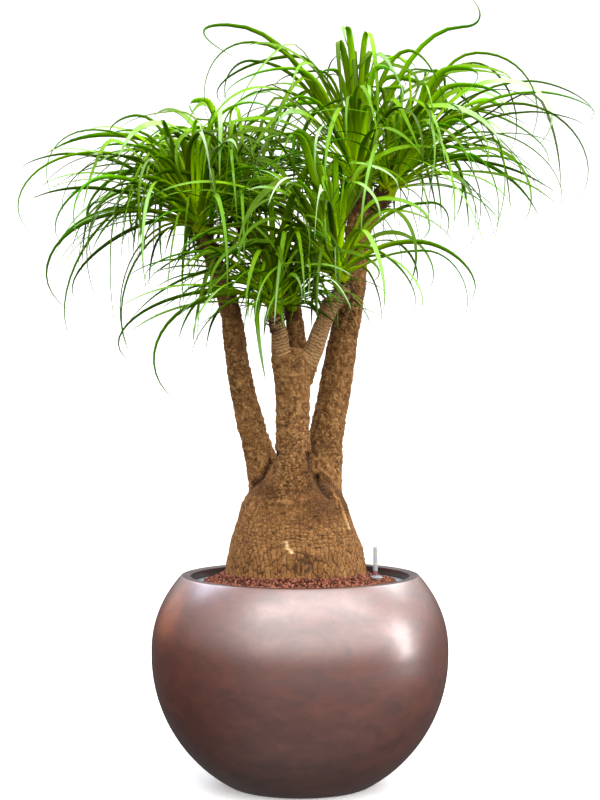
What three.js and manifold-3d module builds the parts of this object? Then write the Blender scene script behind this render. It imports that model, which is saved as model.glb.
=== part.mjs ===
// A potted ponytail palm: a ball planter with its insert and clay granules, a water gauge, a woody foot with
// three stems, and seven leafy heads. Millimetres, +Z up. The origin is the centre of the planter's base,
// +X is to the right and +Y to the back as the plant is looked at from its front.
import * as THREE from "three";
import { mergeVertices } from "three/addons/utils/BufferGeometryUtils.js";
import Module from "manifold-3d";

const wasm = await Module();
wasm.setup();
const { Manifold, Mesh } = wasm;

// ---------------------------------------------------------------- driving dimensions
const CLEARANCE = 0.3; // between two pieces that touch
const MERGE_DISTANCE = 1e-3;
const TURN_STEPS = 32; // facets round a turned piece

const BALL_RADIUS = 250;
const BALL_CENTRE_HEIGHT = 221;
const PLANTER_HEIGHT = 355;
const FOOT_ROUNDING = 28;
const SHOULDER_CENTRE_HEIGHT = 231; // above it the ball draws in faster, as half an ellipse
const SHOULDER_RISE = 206.7;
const RIM_CHAMFER = 1.5;
const MOUTH_RADIUS = 183.5;
const COLLAR_DEPTH = 33;
const WALL = 9;
const FLOOR = 15;

const FLANGE_HEIGHT = 341;
const FLANGE_THICKNESS = 3;
const LINER_TOP_RADIUS = 164.5;
const LINER_SHOULDER = { radius: 142, height: 46 }; // where the foot's slope ends and the wall begins
const LINER_FOOT_RADIUS = 110;
const LINER_WALL = 3;

const BED_EDGE_HEIGHT = 343;
const BED_MOUND = 12;
const BED_MOUND_SPREAD = 14;
const GRAIN_RELIEF = 1.6;

const GAUGE = { x: 127.7, y: 20, seat: 347.4, top: 400, tubeRadius: 4.2, bore: 2.9, footRadius: 12.4, cap: 1.5 };
const GAUGE_STEPS = 12;
const WELL = { radius: 8, bore: 6.4, foot: 64, ledge: 2.5, ledgeBore: 4 };
const FLOAT = { tipRadius: 2.3, tipLength: 7, rodRadius: 1.2, bodyRadius: 5.9, bodyLength: 34, travel: 40 };

const CAUDEX = { x: -8, y: 28, radius: 120, depthShare: 0.93 };

const GOLDEN_ANGLE = THREE.MathUtils.degToRad(137.508);
const HEART_RISE = 1; // from a branch's cut end to the heart of its head, in the branch's radii
const CLEAR_OF_NEIGHBOURS = 0.5;
const TRIES = 9;

// Each leafy head: its heart, the way it points, its stalk's radius, its leaves, their length and width, how high
// the inner ones stand and how far the outer ones hang, as shares of their length.
const HEADS = {
  crown_left: {
    heart: [-167, 20, 938], axis: [-0.32, -0.05, 0.94],
    radius: 14, leaves: 27, length: 470, width: 11, rise: 0.37, hang: 0.4,
  },
  crown_back_left: {
    heart: [-104, 80, 966], axis: [-0.35, 0.2, 0.9],
    radius: 14, leaves: 38, length: 500, width: 11, rise: 0.34, hang: 0.36,
  },
  crown_low_left: {
    heart: [-41, -53, 804], axis: [-0.08, -0.1, 0.99],
    radius: 13, leaves: 27, length: 400, width: 11, rise: 0.42, hang: 0.13,
  },
  crown_middle: {
    heart: [-14, -8, 806], axis: [0.05, -0.12, 0.98],
    radius: 8, leaves: 12, length: 250, width: 9, rise: 0.5, hang: 0.2,
  },
  crown_low_right: {
    heart: [66, -45, 856], axis: [-0.24, -0.08, 0.96],
    radius: 14, leaves: 28, length: 440, width: 12, rise: 0.48, hang: 0.27,
  },
  crown_top: {
    heart: [102, 95, 1015], axis: [-0.1, 0, 0.99],
    radius: 17, leaves: 33, length: 520, width: 12, rise: 0.5, hang: 0.3,
  },
  crown_right: {
    heart: [150, 100, 1006], axis: [0.55, 0.02, 0.83],
    radius: 15, leaves: 32, length: 500, width: 11, rise: 0.46, hang: 0.36,
  },
};

// The blades that shape the outline, from the head's heart: apex x, apex z, tip x, tip z, tip y, reach past the
// apex, width.
const LEADING_BLADES = {
  crown_top: [
    [176, 268, 184, 316, -40, 40, 13],
    [-225, 270, -211, 211, -60, 75, 11],
    [-182, 238, -237, 71, -95, 85, 10],
    [-187, 212, -222, 136, -10, 36, 10],
    [-36, 242, -26, 62, -70, 9, 12],
    [-10, 226, -5, 113, -45, 10, 11],
    [12, 256, 27, 50, -85, 30, 11],
    [19, 228, -22, 162, -20, 15, 12],
    [82, 226, 137, 89, -60, 34, 11],
    [20, 130, 30, -40, 320, 80, 12],
    [-60, 150, -110, 10, 300, 80, 11],
    [-30, 120, -60, -20, -270, 70, 12],
  ],
  crown_right: [
    [150, 232, 225, 64, -60, 95, 12],
    [246, 189, 351, 122, 30, 55, 11],
    [253, 167, 345, 118, -40, 50, 12],
    [210, 145, 311, -29, -90, 100, 11],
    [240, 130, 323, 91, -110, 40, 10],
    [150, 140, 279, 43, 70, 60, 10],
    [160, 98, 277, -55, -55, 90, 11],
    [130, 124, 167, -88, -120, 80, 15],
    [146, 79, 232, -3, 20, 60, 11],
    [76, 53, 100, -33, -75, 35, 13],
    [40, 32, 69, -50, -40, 12, 12],
    [150, 222, 216, 71, 60, 60, 10],
    [60, 120, 110, -60, 300, 80, 11],
    [60, 90, 90, -90, -300, 80, 11],
  ],
  crown_low_right: [
    [-70, 238, -73, 156, -10, 8, 15],
    [-40, 184, -47, 178, 10, 4, 17],
    [42, 159, -7, 50, -60, 18, 11],
    [150, 120, 168, 58, -30, 30, 11],
    [123, 55, 209, -43, -60, 60, 12],
    [30, 48, 116, -63, -45, 50, 11],
    [36, 14, 66, -81, -30, 15, 10],
    [30, 70, 60, -60, -300, 70, 12],
    [60, 30, 120, -60, -230, 60, 11],
  ],
  crown_low_left: [
    [-5, 159, 9, 129, -40, 6, 12],
    [-55, 22, -163, -152, -40, 130, 13],
    [-94, 26, -239, -90, 10, 110, 11],
    [-21, 10, -14, -122, -70, 45, 10],
    [-35, 20, -127, -105, -85, 60, 11],
    [-20, 90, -40, -15, -290, 60, 11],
    [-60, 40, -120, -60, -240, 60, 10],
  ],
  crown_left: [
    [-175, 162, -228, 33, -60, 80, 12],
    [-108, 190, -150, 153, 20, 30, 11],
    [-118, 163, -148, 152, -40, 12, 11],
    [-225, 126, -298, 99, 30, 35, 10],
    [-175, 126, -277, -14, -20, 110, 11],
    [-95, 27, -217, -138, -60, 140, 12],
    [-90, 50, -223, -190, 40, 80, 11],
    [-110, 68, -131, -193, -90, 45, 15],
    [-60, 14, -212, -121, 10, 60, 10],
    [-20, 10, -101, -240, -50, 120, 12],
    [-18, 8, -115, -218, 10, 90, 11],
    [-60, 70, -70, -110, -300, 70, 11],
    [-60, 90, -80, -60, 260, 70, 11],
  ],
  crown_back_left: [
    [-20, 120, -30, -60, 300, 80, 11],
    [-60, 60, -110, -150, 280, 70, 11],
  ],
};

// The woody limbs, each a list of rings: x, y, z, radius. A limb with a head ends below that head's heart.
const LIMBS = {
  left_stem: {
    head: "crown_left",
    rings: [
      [-48, 34, 478, 40],
      [-51, 36, 496, 38],
      [-56, 38, 515, 33],
      [-67, 42, 551, 25.6],
      [-83, 45, 600, 22.6],
      [-97, 44, 661, 20.6],
      [-109, 40, 733, 17.5],
      [-118, 35, 800, 16.4],
      [-133, 28, 855, 14.8],
    ],
  },
  centre_stem: {
    rings: [
      [-14, -2, 462, 60],
      [-17, -7, 494, 56],
      [-16.5, -11, 503, 49],
      [-14.5, -16, 517, 41],
      [-12.5, -20, 531, 35.5],
      [-12, -23, 551, 31.5],
      [-12, -25, 583, 28],
      [-12.5, -25, 607, 27.2],
      [-12.5, -25, 643, 27.4],
      [-12.5, -25, 673, 28.4],
      [-11.5, -24, 697, 32],
      [-10, -22, 714, 34],
      [-9, -18, 733, 24],
    ],
  },
  left_branch: {
    head: "crown_low_left",
    rings: [
      [-22, -25, 694, 20],
      [-32, -33, 730, 15],
      [-34, -42, 762, 13.8],
    ],
  },
  middle_branch: {
    head: "crown_back_left",
    rings: [
      [-5, -12, 702, 24],
      [-4, 2, 744, 15],
      [-12, 17, 808, 12.5],
      [-24, 34, 840, 12],
      [-48, 58, 885, 12.5],
      [-76, 72, 922, 13.5],
    ],
  },
  sprout: {
    head: "crown_middle",
    rings: [
      [-6, -2, 742, 11],
      [-12, -5, 768, 8.5],
    ],
  },
  right_branch: {
    head: "crown_low_right",
    rings: [
      [0, -24, 684, 22],
      [20, -29, 727, 16],
      [35, -35, 770, 14.4],
      [50, -40, 808, 14.2],
    ],
  },
  right_stem: {
    head: "crown_top",
    rings: [
      [32, 42, 478, 42],
      [34, 46, 496, 38],
      [38, 51, 518, 32.5],
      [44, 58, 549, 28.6],
      [45, 64, 588, 28.8],
      [55, 70, 640, 27],
      [71, 78, 732, 25.6],
      [88, 85, 818, 21.6],
      [99, 91, 920, 21],
      [104, 95, 965, 22],
    ],
  },
  right_fork: {
    head: "crown_right",
    rings: [
      [104, 94, 948, 19],
      [124, 98, 972, 17],
    ],
  },
};

const CAUDEX_RINGS = [
  // height, radius
  [303, 64],
  [316, 103],
  [336, 119],
  [358, CAUDEX.radius],
  [399, 112.5],
  [439, 98.5],
  [470, 88.5],
  [488, 80],
  [504, 66],
  [514, 44],
];

// ---------------------------------------------------------------- materials
const finish = (color, roughness, metalness = 0) =>
  new THREE.MeshStandardMaterial({ color, roughness, metalness });
const lacquer = finish(0x6b4a45, 0.38, 0.25);
const insertPlastic = finish(0x6f7f8c, 0.5);
const clay = finish(0x9c5a44, 0.95);
const bark = finish(0x9a6a3c, 0.9);
const clearPlastic = finish(0xe8ecec, 0.2);
const redPlastic = finish(0xc8321e, 0.4);
const leaf = finish(0x4c8c1c, 0.55);

// ---------------------------------------------------------------- meshes and solids
const vec = (x, y, z) => new THREE.Vector3(x, y, z);
const UP = vec(0, 0, 1);

/** A repeatable stream of numbers between 0 and 1. */
function randomStream(seed) {
  let state = seed >>> 0;
  return () => {
    state = (state + 0x6d2b79f5) >>> 0;
    let t = Math.imul(state ^ (state >>> 15), state | 1);
    t ^= t + Math.imul(t ^ (t >>> 7), t | 61);
    return ((t ^ (t >>> 14)) >>> 0) / 4294967296;
  };
}

/** The volume inside a triangle mesh, negative where its faces point in. */
function signedVolume(points, triangles) {
  let sum = 0;
  for (let i = 0; i < triangles.length; i += 3) {
    const [a, b, c] = [0, 1, 2].map((k) => points[triangles[i + k]]);
    sum += a.dot(b.clone().cross(c));
  }
  return sum / 6;
}

/** A solid from points and triangles, turned inside out where that is needed. */
function solidFrom(points, triangles) {
  if (signedVolume(points, triangles) < 0) triangles = triangles.slice().reverse();
  return new Manifold(
    new Mesh({
      numProp: 3,
      vertProperties: Float32Array.from(points.flatMap((p) => [p.x, p.y, p.z])),
      triVerts: Uint32Array.from(triangles),
    }),
  );
}

/** A solid through rings of equal point counts; a ring of one point closes that end in a tip. */
function loft(rings) {
  const points = [];
  const starts = rings.map((ring) => points.push(...ring) - ring.length);
  const sides = Math.max(...rings.map((ring) => ring.length));
  const triangles = [];
  const cap = (ring, start, reversed) => {
    if (ring.length === 1) return;
    const centre = points.push(ring.reduce((sum, p) => sum.add(p), vec(0, 0, 0)).divideScalar(sides)) - 1;
    for (let i = 0; i < sides; i++) {
      const [a, b] = [start + i, start + ((i + 1) % sides)];
      triangles.push(...(reversed ? [centre, b, a] : [centre, a, b]));
    }
  };
  for (let r = 0; r + 1 < rings.length; r++) {
    for (let i = 0; i < sides; i++) {
      const j = (i + 1) % sides;
      const [a, b] = [starts[r] + i, starts[r] + j];
      if (rings[r + 1].length === 1) {
        triangles.push(a, b, starts[r + 1]);
      } else {
        const [c, d] = [starts[r + 1] + i, starts[r + 1] + j];
        triangles.push(a, b, d, a, d, c);
      }
    }
  }
  cap(rings[0], starts[0], true);
  cap(rings.at(-1), starts.at(-1), false);
  return solidFrom(points, triangles);
}

/**
 * A solid through rings as a chain of convex links, so that a thin strap that turns never crosses itself. Each
 * link reaches a little into the next one, which joins them.
 */
function hullChain(rings) {
  const middles = rings.map((ring) => ring.reduce((sum, p) => sum.add(p), vec(0, 0, 0)).divideScalar(ring.length));
  const links = rings.slice(1).map((ring, i) => {
    const points = [...rings[i], ...ring];
    if (middles[i + 2]) points.push(middles[i + 1].clone().lerp(middles[i + 2], 0.05));
    return Manifold.hull(points.map(({ x, y, z }) => [x, y, z]));
  });
  return Manifold.union(links);
}

/** A turned solid from its outline of [radius, height] points, closed on itself or on the axis. */
function turned(outline, steps = TURN_STEPS) {
  const geometry = new THREE.LatheGeometry(
    outline.map(([radius, height]) => new THREE.Vector2(radius, height)),
    steps,
  );
  geometry.rotateX(Math.PI / 2);
  geometry.deleteAttribute("normal");
  geometry.deleteAttribute("uv");
  return solidOf(mergeVertices(geometry, MERGE_DISTANCE));
}

/** Points on an arc about [radius, height], from one angle to another in degrees. */
function arc([centreRadius, centreHeight], radius, from, to, steps) {
  return Array.from({ length: steps + 1 }, (_, i) => {
    const angle = THREE.MathUtils.degToRad(from + ((to - from) * i) / steps);
    return [centreRadius + radius * Math.cos(angle), centreHeight + radius * Math.sin(angle)];
  });
}

const group = new THREE.Group();

/** A solid's largest body as a geometry with its near-equal vertices merged. */
function largestBody(solid) {
  const body = solid.decompose().reduce((best, part) => (part.volume() > best.volume() ? part : best));
  const { vertProperties, triVerts } = body.getMesh();
  const geometry = new THREE.BufferGeometry();
  geometry.setAttribute("position", new THREE.BufferAttribute(vertProperties, 3));
  geometry.setIndex(new THREE.BufferAttribute(triVerts, 1));
  return mergeVertices(geometry, MERGE_DISTANCE);
}

/** The solid of a merged geometry, without the triangles that merging closed up. */
function solidOf(geometry) {
  const position = geometry.getAttribute("position");
  const points = Array.from({ length: position.count }, (_, i) => vec(0, 0, 0).fromBufferAttribute(position, i));
  const index = Array.from(geometry.getIndex().array);
  const whole = [];
  for (let i = 0; i < index.length; i += 3) {
    const [a, b, c] = index.slice(i, i + 3);
    if (a !== b && b !== c && c !== a) whole.push(a, b, c);
  }
  return solidFrom(points, whole);
}

/** Adds a solid to the part as a named mesh: its one outer body, without small closed hollows. */
function addPiece(name, material, solid) {
  const mesh = new THREE.Mesh(largestBody(solidOf(largestBody(solid))), material);
  mesh.name = name;
  group.add(mesh);
}

// ---------------------------------------------------------------- planter, insert, granules
/** Where a ball's inside meets a rounding of the given radius that also touches a level plane. */
function rounding(radius, planeHeight, side) {
  const height = planeHeight + side * radius;
  const out = Math.sqrt((BALL_RADIUS - radius) ** 2 - (height - BALL_CENTRE_HEIGHT) ** 2);
  const angle = THREE.MathUtils.radToDeg(Math.atan2(height - BALL_CENTRE_HEIGHT, out));
  return { centre: [out, height], angle };
}

/** The shoulder's outline, from the ball's widest place up to the rim's chamfered corner. */
function shoulderCurve(steps) {
  const last = Math.asin((PLANTER_HEIGHT - RIM_CHAMFER - SHOULDER_CENTRE_HEIGHT) / SHOULDER_RISE);
  const curve = Array.from({ length: steps + 1 }, (_, i) => {
    const angle = (last * i) / steps;
    return [BALL_RADIUS * Math.cos(angle), SHOULDER_CENTRE_HEIGHT + SHOULDER_RISE * Math.sin(angle)];
  });
  return [...curve, [curve[steps][0] - 2 * RIM_CHAMFER, PLANTER_HEIGHT]];
}

function planterSolid() {
  const foot = rounding(FOOT_ROUNDING, 0, 1);
  const ball = [0, BALL_CENTRE_HEIGHT];
  const insideRadius = BALL_RADIUS - WALL;
  const collarFoot = PLANTER_HEIGHT - COLLAR_DEPTH;
  const insideAngle = (height) => THREE.MathUtils.radToDeg(Math.asin((height - BALL_CENTRE_HEIGHT) / insideRadius));
  return turned([
    [0, 0],
    ...arc(foot.centre, FOOT_ROUNDING, -90, foot.angle, 2),
    ...arc(ball, BALL_RADIUS, foot.angle, 0, 8).slice(1),
    ...shoulderCurve(6),
    [MOUTH_RADIUS + 2, PLANTER_HEIGHT],
    [MOUTH_RADIUS, PLANTER_HEIGHT - 2],
    [MOUTH_RADIUS, collarFoot],
    ...arc(ball, insideRadius, insideAngle(collarFoot - 22), insideAngle(FLOOR), 7),
    [0, FLOOR],
  ]);
}

const linerFoot = FLOOR + CLEARANCE;
const linerFloor = linerFoot + LINER_WALL;
const linerRadiusAt = (height) =>
  height < LINER_SHOULDER.height
    ? THREE.MathUtils.mapLinear(height, linerFloor, LINER_SHOULDER.height, LINER_FOOT_RADIUS, LINER_SHOULDER.radius)
    : THREE.MathUtils.mapLinear(height, LINER_SHOULDER.height, FLANGE_HEIGHT, LINER_SHOULDER.radius, LINER_TOP_RADIUS);

function linerSolid() {
  const flangeRadius = MOUTH_RADIUS - CLEARANCE;
  const underFlange = FLANGE_HEIGHT - FLANGE_THICKNESS;
  return turned([
    [0, linerFoot],
    [LINER_FOOT_RADIUS + LINER_WALL, linerFoot],
    [LINER_SHOULDER.radius + LINER_WALL, LINER_SHOULDER.height - LINER_WALL / 2],
    [linerRadiusAt(underFlange) + LINER_WALL, underFlange],
    [flangeRadius, underFlange],
    [flangeRadius, FLANGE_HEIGHT],
    [LINER_TOP_RADIUS, FLANGE_HEIGHT],
    [LINER_SHOULDER.radius, LINER_SHOULDER.height],
    [LINER_FOOT_RADIUS, linerFloor],
    [0, linerFloor],
  ]);
}

/** The granules' surface: level at the edge, raised round the plant, with the grains' unevenness. */
function bedHeight(x, y) {
  const fromPlant = Math.max(0, Math.hypot(x - CAUDEX.x, y - CAUDEX.y) - CAUDEX.radius);
  const mound = BED_MOUND * Math.exp(-((fromPlant / BED_MOUND_SPREAD) ** 2));
  const grains = GRAIN_RELIEF * Math.sin(x / 3.1 + 1.7 * Math.sin(y / 7)) * Math.sin(y / 3.4 + 1.3 * Math.sin(x / 6));
  return BED_EDGE_HEIGHT + mound + grains;
}

function bedSolid(trunk, gauge) {
  const ringAt = (radius, height) =>
    Array.from({ length: TURN_STEPS }, (_, i) => {
      const angle = (2 * Math.PI * i) / TURN_STEPS;
      const [x, y] = [radius * Math.cos(angle), radius * Math.sin(angle)];
      return vec(x, y, height ?? bedHeight(x, y));
    });
  const foot = linerFloor + CLEARANCE;
  const edgeRadius = linerRadiusAt(BED_EDGE_HEIGHT - 4) - 2 * CLEARANCE;
  const bed = loft([
    ringAt(LINER_FOOT_RADIUS - 2 * CLEARANCE, foot),
    ringAt(LINER_SHOULDER.radius - 2 * CLEARANCE, LINER_SHOULDER.height),
    ringAt(edgeRadius, BED_EDGE_HEIGHT - 4),
    ...[1, 0.95, 0.9, 0.85, 0.8, 0.72].map((share) => ringAt(edgeRadius * share)),
  ]);
  return bed.subtract(trunk).subtract(gauge);
}

// ---------------------------------------------------------------- water gauge
const atGauge = (solid) => solid.translate(GAUGE.x, GAUGE.y, 0);

/** The hollow that the gauge takes in the granules: round its well, and over its flared foot. */
function gaugeHollow() {
  return atGauge(
    turned(
      [
        [0, WELL.foot - CLEARANCE],
        [WELL.radius + CLEARANCE, WELL.foot - CLEARANCE],
        [WELL.radius + CLEARANCE, GAUGE.seat - CLEARANCE],
        [GAUGE.footRadius + CLEARANCE, GAUGE.seat - CLEARANCE],
        [GAUGE.footRadius + CLEARANCE, PLANTER_HEIGHT + BED_MOUND],
        [0, PLANTER_HEIGHT + BED_MOUND],
      ],
      GAUGE_STEPS,
    ),
  );
}

function gaugeTubeSolid() {
  const { seat, top, tubeRadius, bore, footRadius, cap } = GAUGE;
  return atGauge(
    turned(
      [
        [WELL.ledgeBore, WELL.foot],
        [WELL.radius, WELL.foot],
        [WELL.radius, seat],
        [footRadius, seat],
        [footRadius, seat + 1.2],
        [8.4, seat + 2.8],
        [6, seat + 4.6],
        [tubeRadius, seat + 7.5],
        [tubeRadius, top - 1],
        [tubeRadius - 1, top],
        [0, top],
        [0, top - cap],
        [bore, top - cap],
        [bore, seat - 1],
        [WELL.bore, seat - 5],
        [WELL.bore, WELL.foot + WELL.ledge],
        [WELL.ledgeBore, WELL.foot + WELL.ledge],
        [WELL.ledgeBore, WELL.foot],
      ],
      GAUGE_STEPS,
    ),
  );
}

/** The float, at rest on the well's ledge with no water, its tip at the foot of the clear tube. */
function gaugeFloatSolid() {
  const bodyFoot = WELL.foot + WELL.ledge + CLEARANCE;
  const tipTop = GAUGE.top - GAUGE.cap - CLEARANCE - FLOAT.travel;
  return atGauge(
    turned(
      [
        [0, bodyFoot],
        [FLOAT.bodyRadius, bodyFoot],
        [FLOAT.bodyRadius, bodyFoot + FLOAT.bodyLength],
        [FLOAT.rodRadius, bodyFoot + FLOAT.bodyLength],
        [FLOAT.rodRadius, tipTop - FLOAT.tipLength],
        [FLOAT.tipRadius, tipTop - FLOAT.tipLength],
        [FLOAT.tipRadius, tipTop],
        [0, tipTop],
      ],
      GAUGE_STEPS,
    ),
  );
}

// ---------------------------------------------------------------- woody foot, stems and branches
/** The bark's coarse relief, as a share of the radius. */
const barkRelief = (angle, height) =>
  1 + 0.022 * Math.sin(5 * angle + 0.035 * height) + 0.018 * Math.sin(3 * angle - 0.05 * height + 1.2);

const headAxis = (head) => vec(...head.axis).normalize();
const cutEnd = (head) => vec(...head.heart).addScaledVector(headAxis(head), -HEART_RISE * head.radius);

/** A limb's solid, its rings square to its path and its last ring square to its head's axis. */
function limbSolid({ head, rings }, swell = 0, sides = 11) {
  const stops = rings.map(([x, y, z, radius]) => ({ at: vec(x, y, z), radius: radius + swell }));
  if (head) {
    const { radius } = HEADS[head];
    const axis = headAxis(HEADS[head]);
    const end = cutEnd(HEADS[head]);
    stops.push({ at: end.clone().addScaledVector(axis, -16), radius: radius * 0.96 + swell });
    stops.push({ at: end, radius: radius + swell, along: axis });
  }
  return loft(
    stops.map(({ at, radius, along }, i) => {
      const before = stops[Math.max(0, i - 1)].at;
      const after = stops[Math.min(stops.length - 1, i + 1)].at;
      const tangent = (along ?? after.clone().sub(before)).clone().normalize();
      const right = vec(1, 0, 0).addScaledVector(tangent, -tangent.x).normalize();
      const back = tangent.clone().cross(right);
      return Array.from({ length: sides }, (_, k) => {
        const angle = (2 * Math.PI * k) / sides;
        const out = radius * barkRelief(angle, at.z);
        return at
          .clone()
          .addScaledVector(right, out * Math.cos(angle))
          .addScaledVector(back, out * Math.sin(angle));
      });
    }),
  );
}

function caudexSolid(swell = 0) {
  const sides = 22;
  return loft(
    CAUDEX_RINGS.map(([height, radius], row) =>
      Array.from({ length: sides }, (_, k) => {
        const angle = (2 * Math.PI * k) / sides;
        const out = (radius + swell) * (1 + (barkRelief(angle, height) - 1) * 0.6);
        const drift = (height - 340) / 230; // the foot stands a little to the back of its neck
        return vec(
          CAUDEX.x - 2 * drift + out * Math.cos(angle),
          CAUDEX.y - 8 * drift + out * CAUDEX.depthShare * Math.sin(angle),
          height + (row === 0 ? -swell : 0),
        );
      }),
    ),
  );
}

const trunkSolid = () =>
  Manifold.union([caudexSolid(), ...Object.values(LIMBS).map((limb) => limbSolid(limb))]);

// ---------------------------------------------------------------- leafy heads
/** The core that a head's blades grow out of. */
function coreSolid(head) {
  const axis = headAxis(head);
  const foot = cutEnd(head).addScaledVector(axis, CLEARANCE);
  const right = vec(1, 0, 0).addScaledVector(axis, -axis.x).normalize();
  const back = axis.clone().cross(right);
  const sides = 9;
  const shape = [
    // height above the foot in radii, radius in radii
    [0, 0.95],
    [0.8, 1.15],
    [2.2, 0.9],
    [3.6, 0.4],
  ];
  return loft(
    shape.map(([rise, share]) =>
      Array.from({ length: sides }, (_, k) => {
        const angle = (2 * Math.PI * k) / sides;
        return foot
          .clone()
          .addScaledVector(axis, rise * head.radius)
          .addScaledVector(right, share * head.radius * Math.cos(angle))
          .addScaledVector(back, share * head.radius * Math.sin(angle));
      }),
    ),
  );
}

/**
 * A blade's path: up from the root to its apex, level there, and over to its tip. The heading is the level
 * direction that it leans in.
 */
function bladePath({ root, apex, tip, reach }) {
  const middle = apex.clone().add(tip).multiplyScalar(0.5).sub(root).setZ(0);
  const heading = middle.lengthSq() > 1 ? middle.normalize() : vec(1, 0, 0);
  const out = apex.clone().sub(root).dot(heading);
  const rise = apex.z - root.z;
  const drop = apex.z - tip.z;
  const first = new THREE.CubicBezierCurve3(
    root,
    root.clone().addScaledVector(UP, 0.55 * rise).addScaledVector(heading, 0.35 * out),
    apex.clone().addScaledVector(heading, -0.45 * Math.abs(out) - 3),
    apex,
  );
  const second = new THREE.CubicBezierCurve3(
    apex,
    apex.clone().addScaledVector(heading, reach),
    tip.clone().addScaledVector(UP, 0.35 * drop).addScaledVector(heading, 0.6 * reach),
    tip,
  );
  return { first, second, heading };
}

/** A blade's share of its full width, from the neck sunk in the core to the thin tip. */
function widthShare(along) {
  const neck = 0.5 * Math.max(0, 1 - along / 0.2) ** 2;
  const taper = along < 0.4 ? 1 : 1 - ((along - 0.4) / 0.6) ** 1.5;
  return taper - neck;
}

/**
 * A blade's solid: flat above, with a keel below, turning about its own path towards the tip. Its free part
 * leaves out the stretch by the root, where a head's blades clasp each other.
 */
function bladeSolid(blade, freePart = false) {
  const { first, second, heading } = bladePath(blade);
  const stations = [
    [first, 0],
    [first, 0.5],
    [first, 1],
    [second, 0.36],
    [second, 0.7],
  ];
  const across = heading.clone().cross(UP).normalize();
  const rings = stations.map(([curve, t], i) => {
    const along = (curve === first ? 0.4 * t : 0.4 + 0.6 * t);
    const point = curve.getPoint(t);
    const tangent = curve.getTangent(t);
    const side = across
      .clone()
      .addScaledVector(tangent, -tangent.dot(across))
      .normalize()
      .applyAxisAngle(tangent, blade.twist * Math.min(1, i / 2));
    const under = tangent.clone().cross(side);
    const half = 0.5 * blade.width * widthShare(along);
    return [
      point.clone().addScaledVector(side, -half),
      point.clone().addScaledVector(side, half),
      point.clone().addScaledVector(under, Math.max(0.9, 0.3 * half)),
    ];
  });
  return hullChain([...rings.slice(freePart ? 1 : 0), [blade.tip]]);
}

/** Where a blade grows from: low on the core for the old outer blades, high for the young inner ones. */
function rootPoint(head, heading, age) {
  return vec(...head.heart)
    .addScaledVector(headAxis(head), head.radius * (2.2 - 2.2 * age))
    .addScaledVector(heading, head.radius * (0.1 + 0.6 * age));
}

/** A leading blade, from its row of chosen numbers. */
function leadingBlade(head, [apexX, apexZ, tipX, tipZ, tipY, reach, width], random) {
  const heart = vec(...head.heart);
  const apex = heart.clone().add(vec(apexX, 0.45 * tipY, apexZ));
  const tip = heart.clone().add(vec(tipX, tipY, tipZ));
  const heading = vec(apexX + tipX, 1.45 * tipY, 0).normalize();
  const age = THREE.MathUtils.clamp(1 - apexZ / 160, 0.05, 1);
  return { root: rootPoint(head, heading, age), apex, tip, reach, width, twist: (random() - 0.5) * 1.6 };
}

/** The blade of a given place in its head's spiral: the inner ones stand, the outer ones arch and hang. */
function spiralBlade(head, place, random) {
  const age = (place + 0.5) / head.leaves;
  const angle = place * GOLDEN_ANGLE + (random() - 0.5) * 0.5;
  const heading = vec(Math.cos(angle), Math.sin(angle), 0);
  const length = head.length * (0.72 + 0.38 * random()) * (0.82 + 0.18 * Math.sin(Math.PI * age));
  const lean = headAxis(head).setZ(0);
  const rise = length * (head.rise * (1 - 0.8 * age) + 0.08 * (random() - 0.5));
  const drop = length * (0.08 + head.hang * age * (0.6 + 0.5 * random()));
  const apexOut = length * (0.09 + 0.3 * age);
  const tipOut = apexOut + length * (0.07 + 0.17 * random());
  const root = rootPoint(head, heading, age);
  const apex = root
    .clone()
    .addScaledVector(UP, rise)
    .addScaledVector(heading, apexOut)
    .addScaledVector(lean, 0.75 * rise);
  const tip = root
    .clone()
    .addScaledVector(UP, rise - drop)
    .addScaledVector(heading, tipOut)
    .addScaledVector(lean, 0.75 * rise);
  const width = head.width * (0.75 + 0.45 * random());
  return { root, apex, tip, reach: 0.16 * length, width, twist: (random() - 0.5) * 1.8 };
}

/** The same blade, turned about its head's heart and lifted a little, for another try at a clear way. */
function turnedBlade(head, blade, attempt) {
  const side = attempt % 2 ? 1 : -1;
  const angle = side * 0.07 * Math.ceil(attempt / 2);
  const heart = vec(...head.heart);
  const swing = (point, lift) =>
    point.clone().sub(heart).applyAxisAngle(UP, angle).add(heart).addScaledVector(UP, lift);
  return { ...blade, apex: swing(blade.apex, 2 * attempt), tip: swing(blade.tip, 3 * attempt) };
}

const boxesMeet = (a, b) =>
  [0, 1, 2].every((k) => a.min[k] <= b.max[k] + 1 && b.min[k] <= a.max[k] + 1);

const withBox = (solid) => ({ solid, box: solid.boundingBox() });

/** True where a solid keeps its clearance to all the others. */
function isClear(item, others) {
  return others.every(
    (other) =>
      !boxesMeet(item.box, other.box) || item.solid.minGap(other.solid, CLEAR_OF_NEIGHBOURS) >= CLEAR_OF_NEIGHBOURS,
  );
}

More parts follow.
